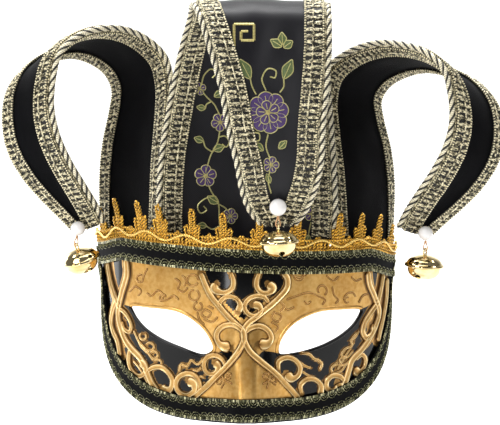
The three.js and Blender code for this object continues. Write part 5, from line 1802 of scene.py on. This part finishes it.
class MASK_OT_bells(bpy.types.Operator):
    """Presses the two halves of the jingle bells, seams them and cuts the slot"""
    bl_idname = "mask.bells"
    bl_label = "Bells"

    def execute(self, context):
        body, up, down = 9.7, BELL_UP, BELL_DOWN
        profile = [(0.4, -down)]
        for k in range(1, 13):
            turn = math.radians(k * 7.0)
            profile.append((body * math.sin(turn) ** 0.78, -down * math.cos(turn) ** 0.78))
        # The rolled seam, then the sloping shoulder and the flat dome of the upper half
        profile += [(body + 0.2, -0.95), (10.8, -0.9), (11.3, -0.55), (11.4, 0.0), (11.15, 0.6),
                    (10.5, 0.95), (10.0, 1.7),
                    (9.35, 2.7), (8.5, 3.55), (7.3, 4.3), (5.7, 5.0), (3.9, 5.55), (2.1, 5.95), (0.4, up)]
        bell = turned("turned_bell", profile, 72)
        bell.data.materials.append(MATERIALS["bell"])
        # Close the two poles
        pick(bell)
        bpy.ops.object.mode_set(mode="EDIT")
        bpy.ops.mesh.select_all(action="DESELECT")
        bpy.ops.mesh.select_mode(type="EDGE")
        bpy.ops.mesh.select_non_manifold()
        bpy.ops.mesh.edge_face_add()
        bpy.ops.object.mode_set(mode="OBJECT")
        tidy_shape(bell)
        # Hollow: a smaller copy taken out of it
        core = copy_of(bell, "bell_core", Matrix.Diagonal(Vector((0.9, 0.9, 0.88, 1))))
        for vertex in core.data.vertices:
            away = vertex.co.xy.length
            if away > 8.8 * MM:
                vertex.co.x *= 8.8 * MM / away
                vertex.co.y *= 8.8 * MM / away
        apply_modifier(bell, "BOOLEAN", operation="DIFFERENCE", object=core, solver="EXACT")
        bpy.data.objects.remove(core)
        # The slot runs across the lower half, with a round hole at each end
        cutters = []
        none_selected()
        bpy.ops.mesh.primitive_cube_add(size=1, location=(0, 0, -down * MM),
                                        scale=(body * 1.5 * MM, 2.0 * MM, down * MM))
        cutters.append(context.object)
        for way in (-1, 1):
            none_selected()
            bpy.ops.mesh.primitive_cylinder_add(vertices=28, radius=1.75 * MM, depth=8 * MM,
                                                location=(way * 7.3 * MM, 0, -5.6 * MM),
                                                rotation=(0, way * math.radians(-52), 0))
            cutters.append(context.object)
        for cutter in cutters:
            apply_modifier(bell, "BOOLEAN", operation="DIFFERENCE", object=cutter, solver="EXACT")
            bpy.data.objects.remove(cutter)
        none_selected()
        bpy.ops.mesh.primitive_torus_add(major_radius=SHANK_RING * MM, minor_radius=SHANK_WIRE * MM,
                                         major_segments=32, minor_segments=12, rotation=(math.pi / 2, 0, 0),
                                         location=(0, 0, (up + SHANK_RING - SHANK_WIRE * 0.6) * MM))
        shank = context.object
        bpy.ops.object.transform_apply(location=True, rotation=True)
        shank.data.materials.append(MATERIALS["bell"])
        pick(bell)
        shank.select_set(True)
        bpy.ops.object.join()
        for drop in DROPS:
            _, place = drop_places(drop)
            piece = copy_of(bell, f"jingle_bell_{drop['name']}", place)
            finish(piece, 35)
            hand_in(piece, "bell_brass", f"bell_{drop['name']}")
        bpy.data.objects.remove(bell)
        return {"FINISHED"}


class MASK_OT_stage(bpy.types.Operator):
    """Sets the pale floor, the soft studio light and the camera"""
    bl_idname = "mask.stage"
    bl_label = "Stage"

    def execute(self, context):
        none_selected()
        bpy.ops.mesh.primitive_plane_add(size=1, location=(0, 0, -0.17))
        floor = context.object
        floor.name = floor.data.name = "pale_floor"
        for vertex in floor.data.vertices:
            vertex.co = Vector((vertex.co.x * 12, vertex.co.y * 6 - 0.5, 0))
        bpy.ops.object.transform_apply(location=True)
        # The far edge sweeps up behind
        bpy.ops.object.mode_set(mode="EDIT")
        bpy.ops.mesh.select_mode(type="EDGE")
        bpy.ops.mesh.select_all(action="DESELECT")
        bpy.ops.object.mode_set(mode="OBJECT")
        for edge in floor.data.edges:
            edge.select = all(floor.data.vertices[v].co.y > 2.4 for v in edge.vertices)
        bpy.ops.object.mode_set(mode="EDIT")
        bpy.ops.mesh.extrude_region_move(TRANSFORM_OT_translate={"value": (0, 0.6, 0.25)})
        bpy.ops.mesh.extrude_region_move(TRANSFORM_OT_translate={"value": (0, 0.25, 0.6)})
        bpy.ops.mesh.extrude_region_move(TRANSFORM_OT_translate={"value": (0, 0, 4.0)})
        bpy.ops.object.mode_set(mode="OBJECT")
        floor.data.materials.append(MATERIALS["paper"])
        finish(floor, 80)

        def lamp(name, place, target, size, power, colour="#FFFFFF"):
            light = bpy.data.lights.new(name, "AREA")
            light.shape, light.size, light.size_y = "RECTANGLE", size[0], size[1]
            light.energy, light.color = power, linear(colour)[:3]
            obj = bpy.data.objects.new(name, light)
            context.scene.collection.objects.link(obj)
            obj.location = place
            obj.rotation_euler = (Vector(target) - Vector(place)).to_track_quat("-Z", "Y").to_euler()

        lamp("softbox_left", (-0.85, -0.85, 0.8), (0, 0, 0.03), (0.6, 0.9), 12)
        lamp("softbox_right", (1.1, -0.6, 0.5), (0, 0, 0.03), (0.6, 0.9), 2.0)
        lamp("top_light", (0.0, -0.1, 1.3), (0, 0, 0.03), (1.0, 0.7), 6)
        # Strip for the bridge of the nose, and a card behind for the temple's pale edge
        lamp("front_strip", (-0.3, -1.2, -0.12), (0, 0, -0.02), (0.09, 0.8), 3.0)
        lamp("left_card", (-0.9, 0.75, 0.1), (-0.05, 0, -0.02), (0.7, 1.0), 7)
        lamp("back_wall_light", (0.0, 0.7, 2.0), (0, 2.2, -0.1), (3.0, 1.0), 130)
        world = bpy.data.worlds.new("studio_air")
        context.scene.world = world
        world.use_nodes = True
        tree = world.node_tree
        tree.nodes.clear()
        air = add(tree, "Background", {"Color": "#FFFFFF", "Strength": 0.16})
        add(tree, "OutputWorld", {"Surface": air})

        data = bpy.data.cameras.new("photo_camera")
        data.sensor_width, data.lens = 36.0, 152.1
        data.clip_end = 50
        camera = bpy.data.objects.new("photo_camera", data)
        context.scene.collection.objects.link(camera)
        camera.location = Vector((0, -math.cos(TILT), math.sin(TILT))) * (VIEW_AWAY * MM)
        aim = Vector((0.002, 0, 0)) + Vector((0, math.sin(TILT), math.cos(TILT))) * 0.0497
        camera.rotation_euler = (aim - camera.location).to_track_quat("-Z", "Y").to_euler()
        context.scene.camera = camera
        context.scene.view_settings.view_transform = "Standard"
        return {"FINISHED"}


class MASK_PT_panel(bpy.types.Panel):
    """Lists the steps that dress the mask"""
    bl_label = "Jester mask"
    bl_idname = "MASK_PT_panel"
    bl_space_type = "VIEW_3D"
    bl_region_type = "UI"
    bl_category = "Jester mask"

    def draw(self, context):
        for group in (context.scene.mask_sizes, context.scene.mask_colours):
            for name in group.__annotations__:
                self.layout.prop(group, name)
        for step_class in STEPS:
            self.layout.operator(step_class.bl_idname)


STEPS = (
    MASK_OT_finishes, MASK_OT_stage, MASK_OT_shell, MASK_OT_scrolls, MASK_OT_brow_braid, MASK_OT_rim_braid,
    MASK_OT_crown_lace, MASK_OT_edge_braids, MASK_OT_edge_cords, MASK_OT_brocade, MASK_OT_horns,
    MASK_OT_pearls,
    MASK_OT_wires, MASK_OT_bells,
)
CLASSES = (MaskSizes, MaskColours) + STEPS + (MASK_PT_panel,)


def register():
    for item in CLASSES:
        bpy.utils.register_class(item)
    bpy.types.Scene.mask_sizes = PointerProperty(type=MaskSizes)
    bpy.types.Scene.mask_colours = PointerProperty(type=MaskColours)


def unregister():
    del bpy.types.Scene.mask_sizes, bpy.types.Scene.mask_colours
    for item in reversed(CLASSES):
        bpy.utils.unregister_class(item)


def main():
    register()
    bpy.ops.mask.finishes()
    bpy.ops.mask.stage()
    bpy.ops.mask.shell()
    bpy.ops.mask.scrolls()
    bpy.ops.mask.brow_braid()
    bpy.ops.mask.rim_braid()
    bpy.ops.mask.crown_lace()
    bpy.ops.mask.edge_braids()
    bpy.ops.mask.edge_cords()
    bpy.ops.mask.brocade()
    bpy.ops.mask.horns()
    bpy.ops.mask.pearls()
    bpy.ops.mask.wires()
    bpy.ops.mask.bells()


if __name__ == "__main__":
    main()
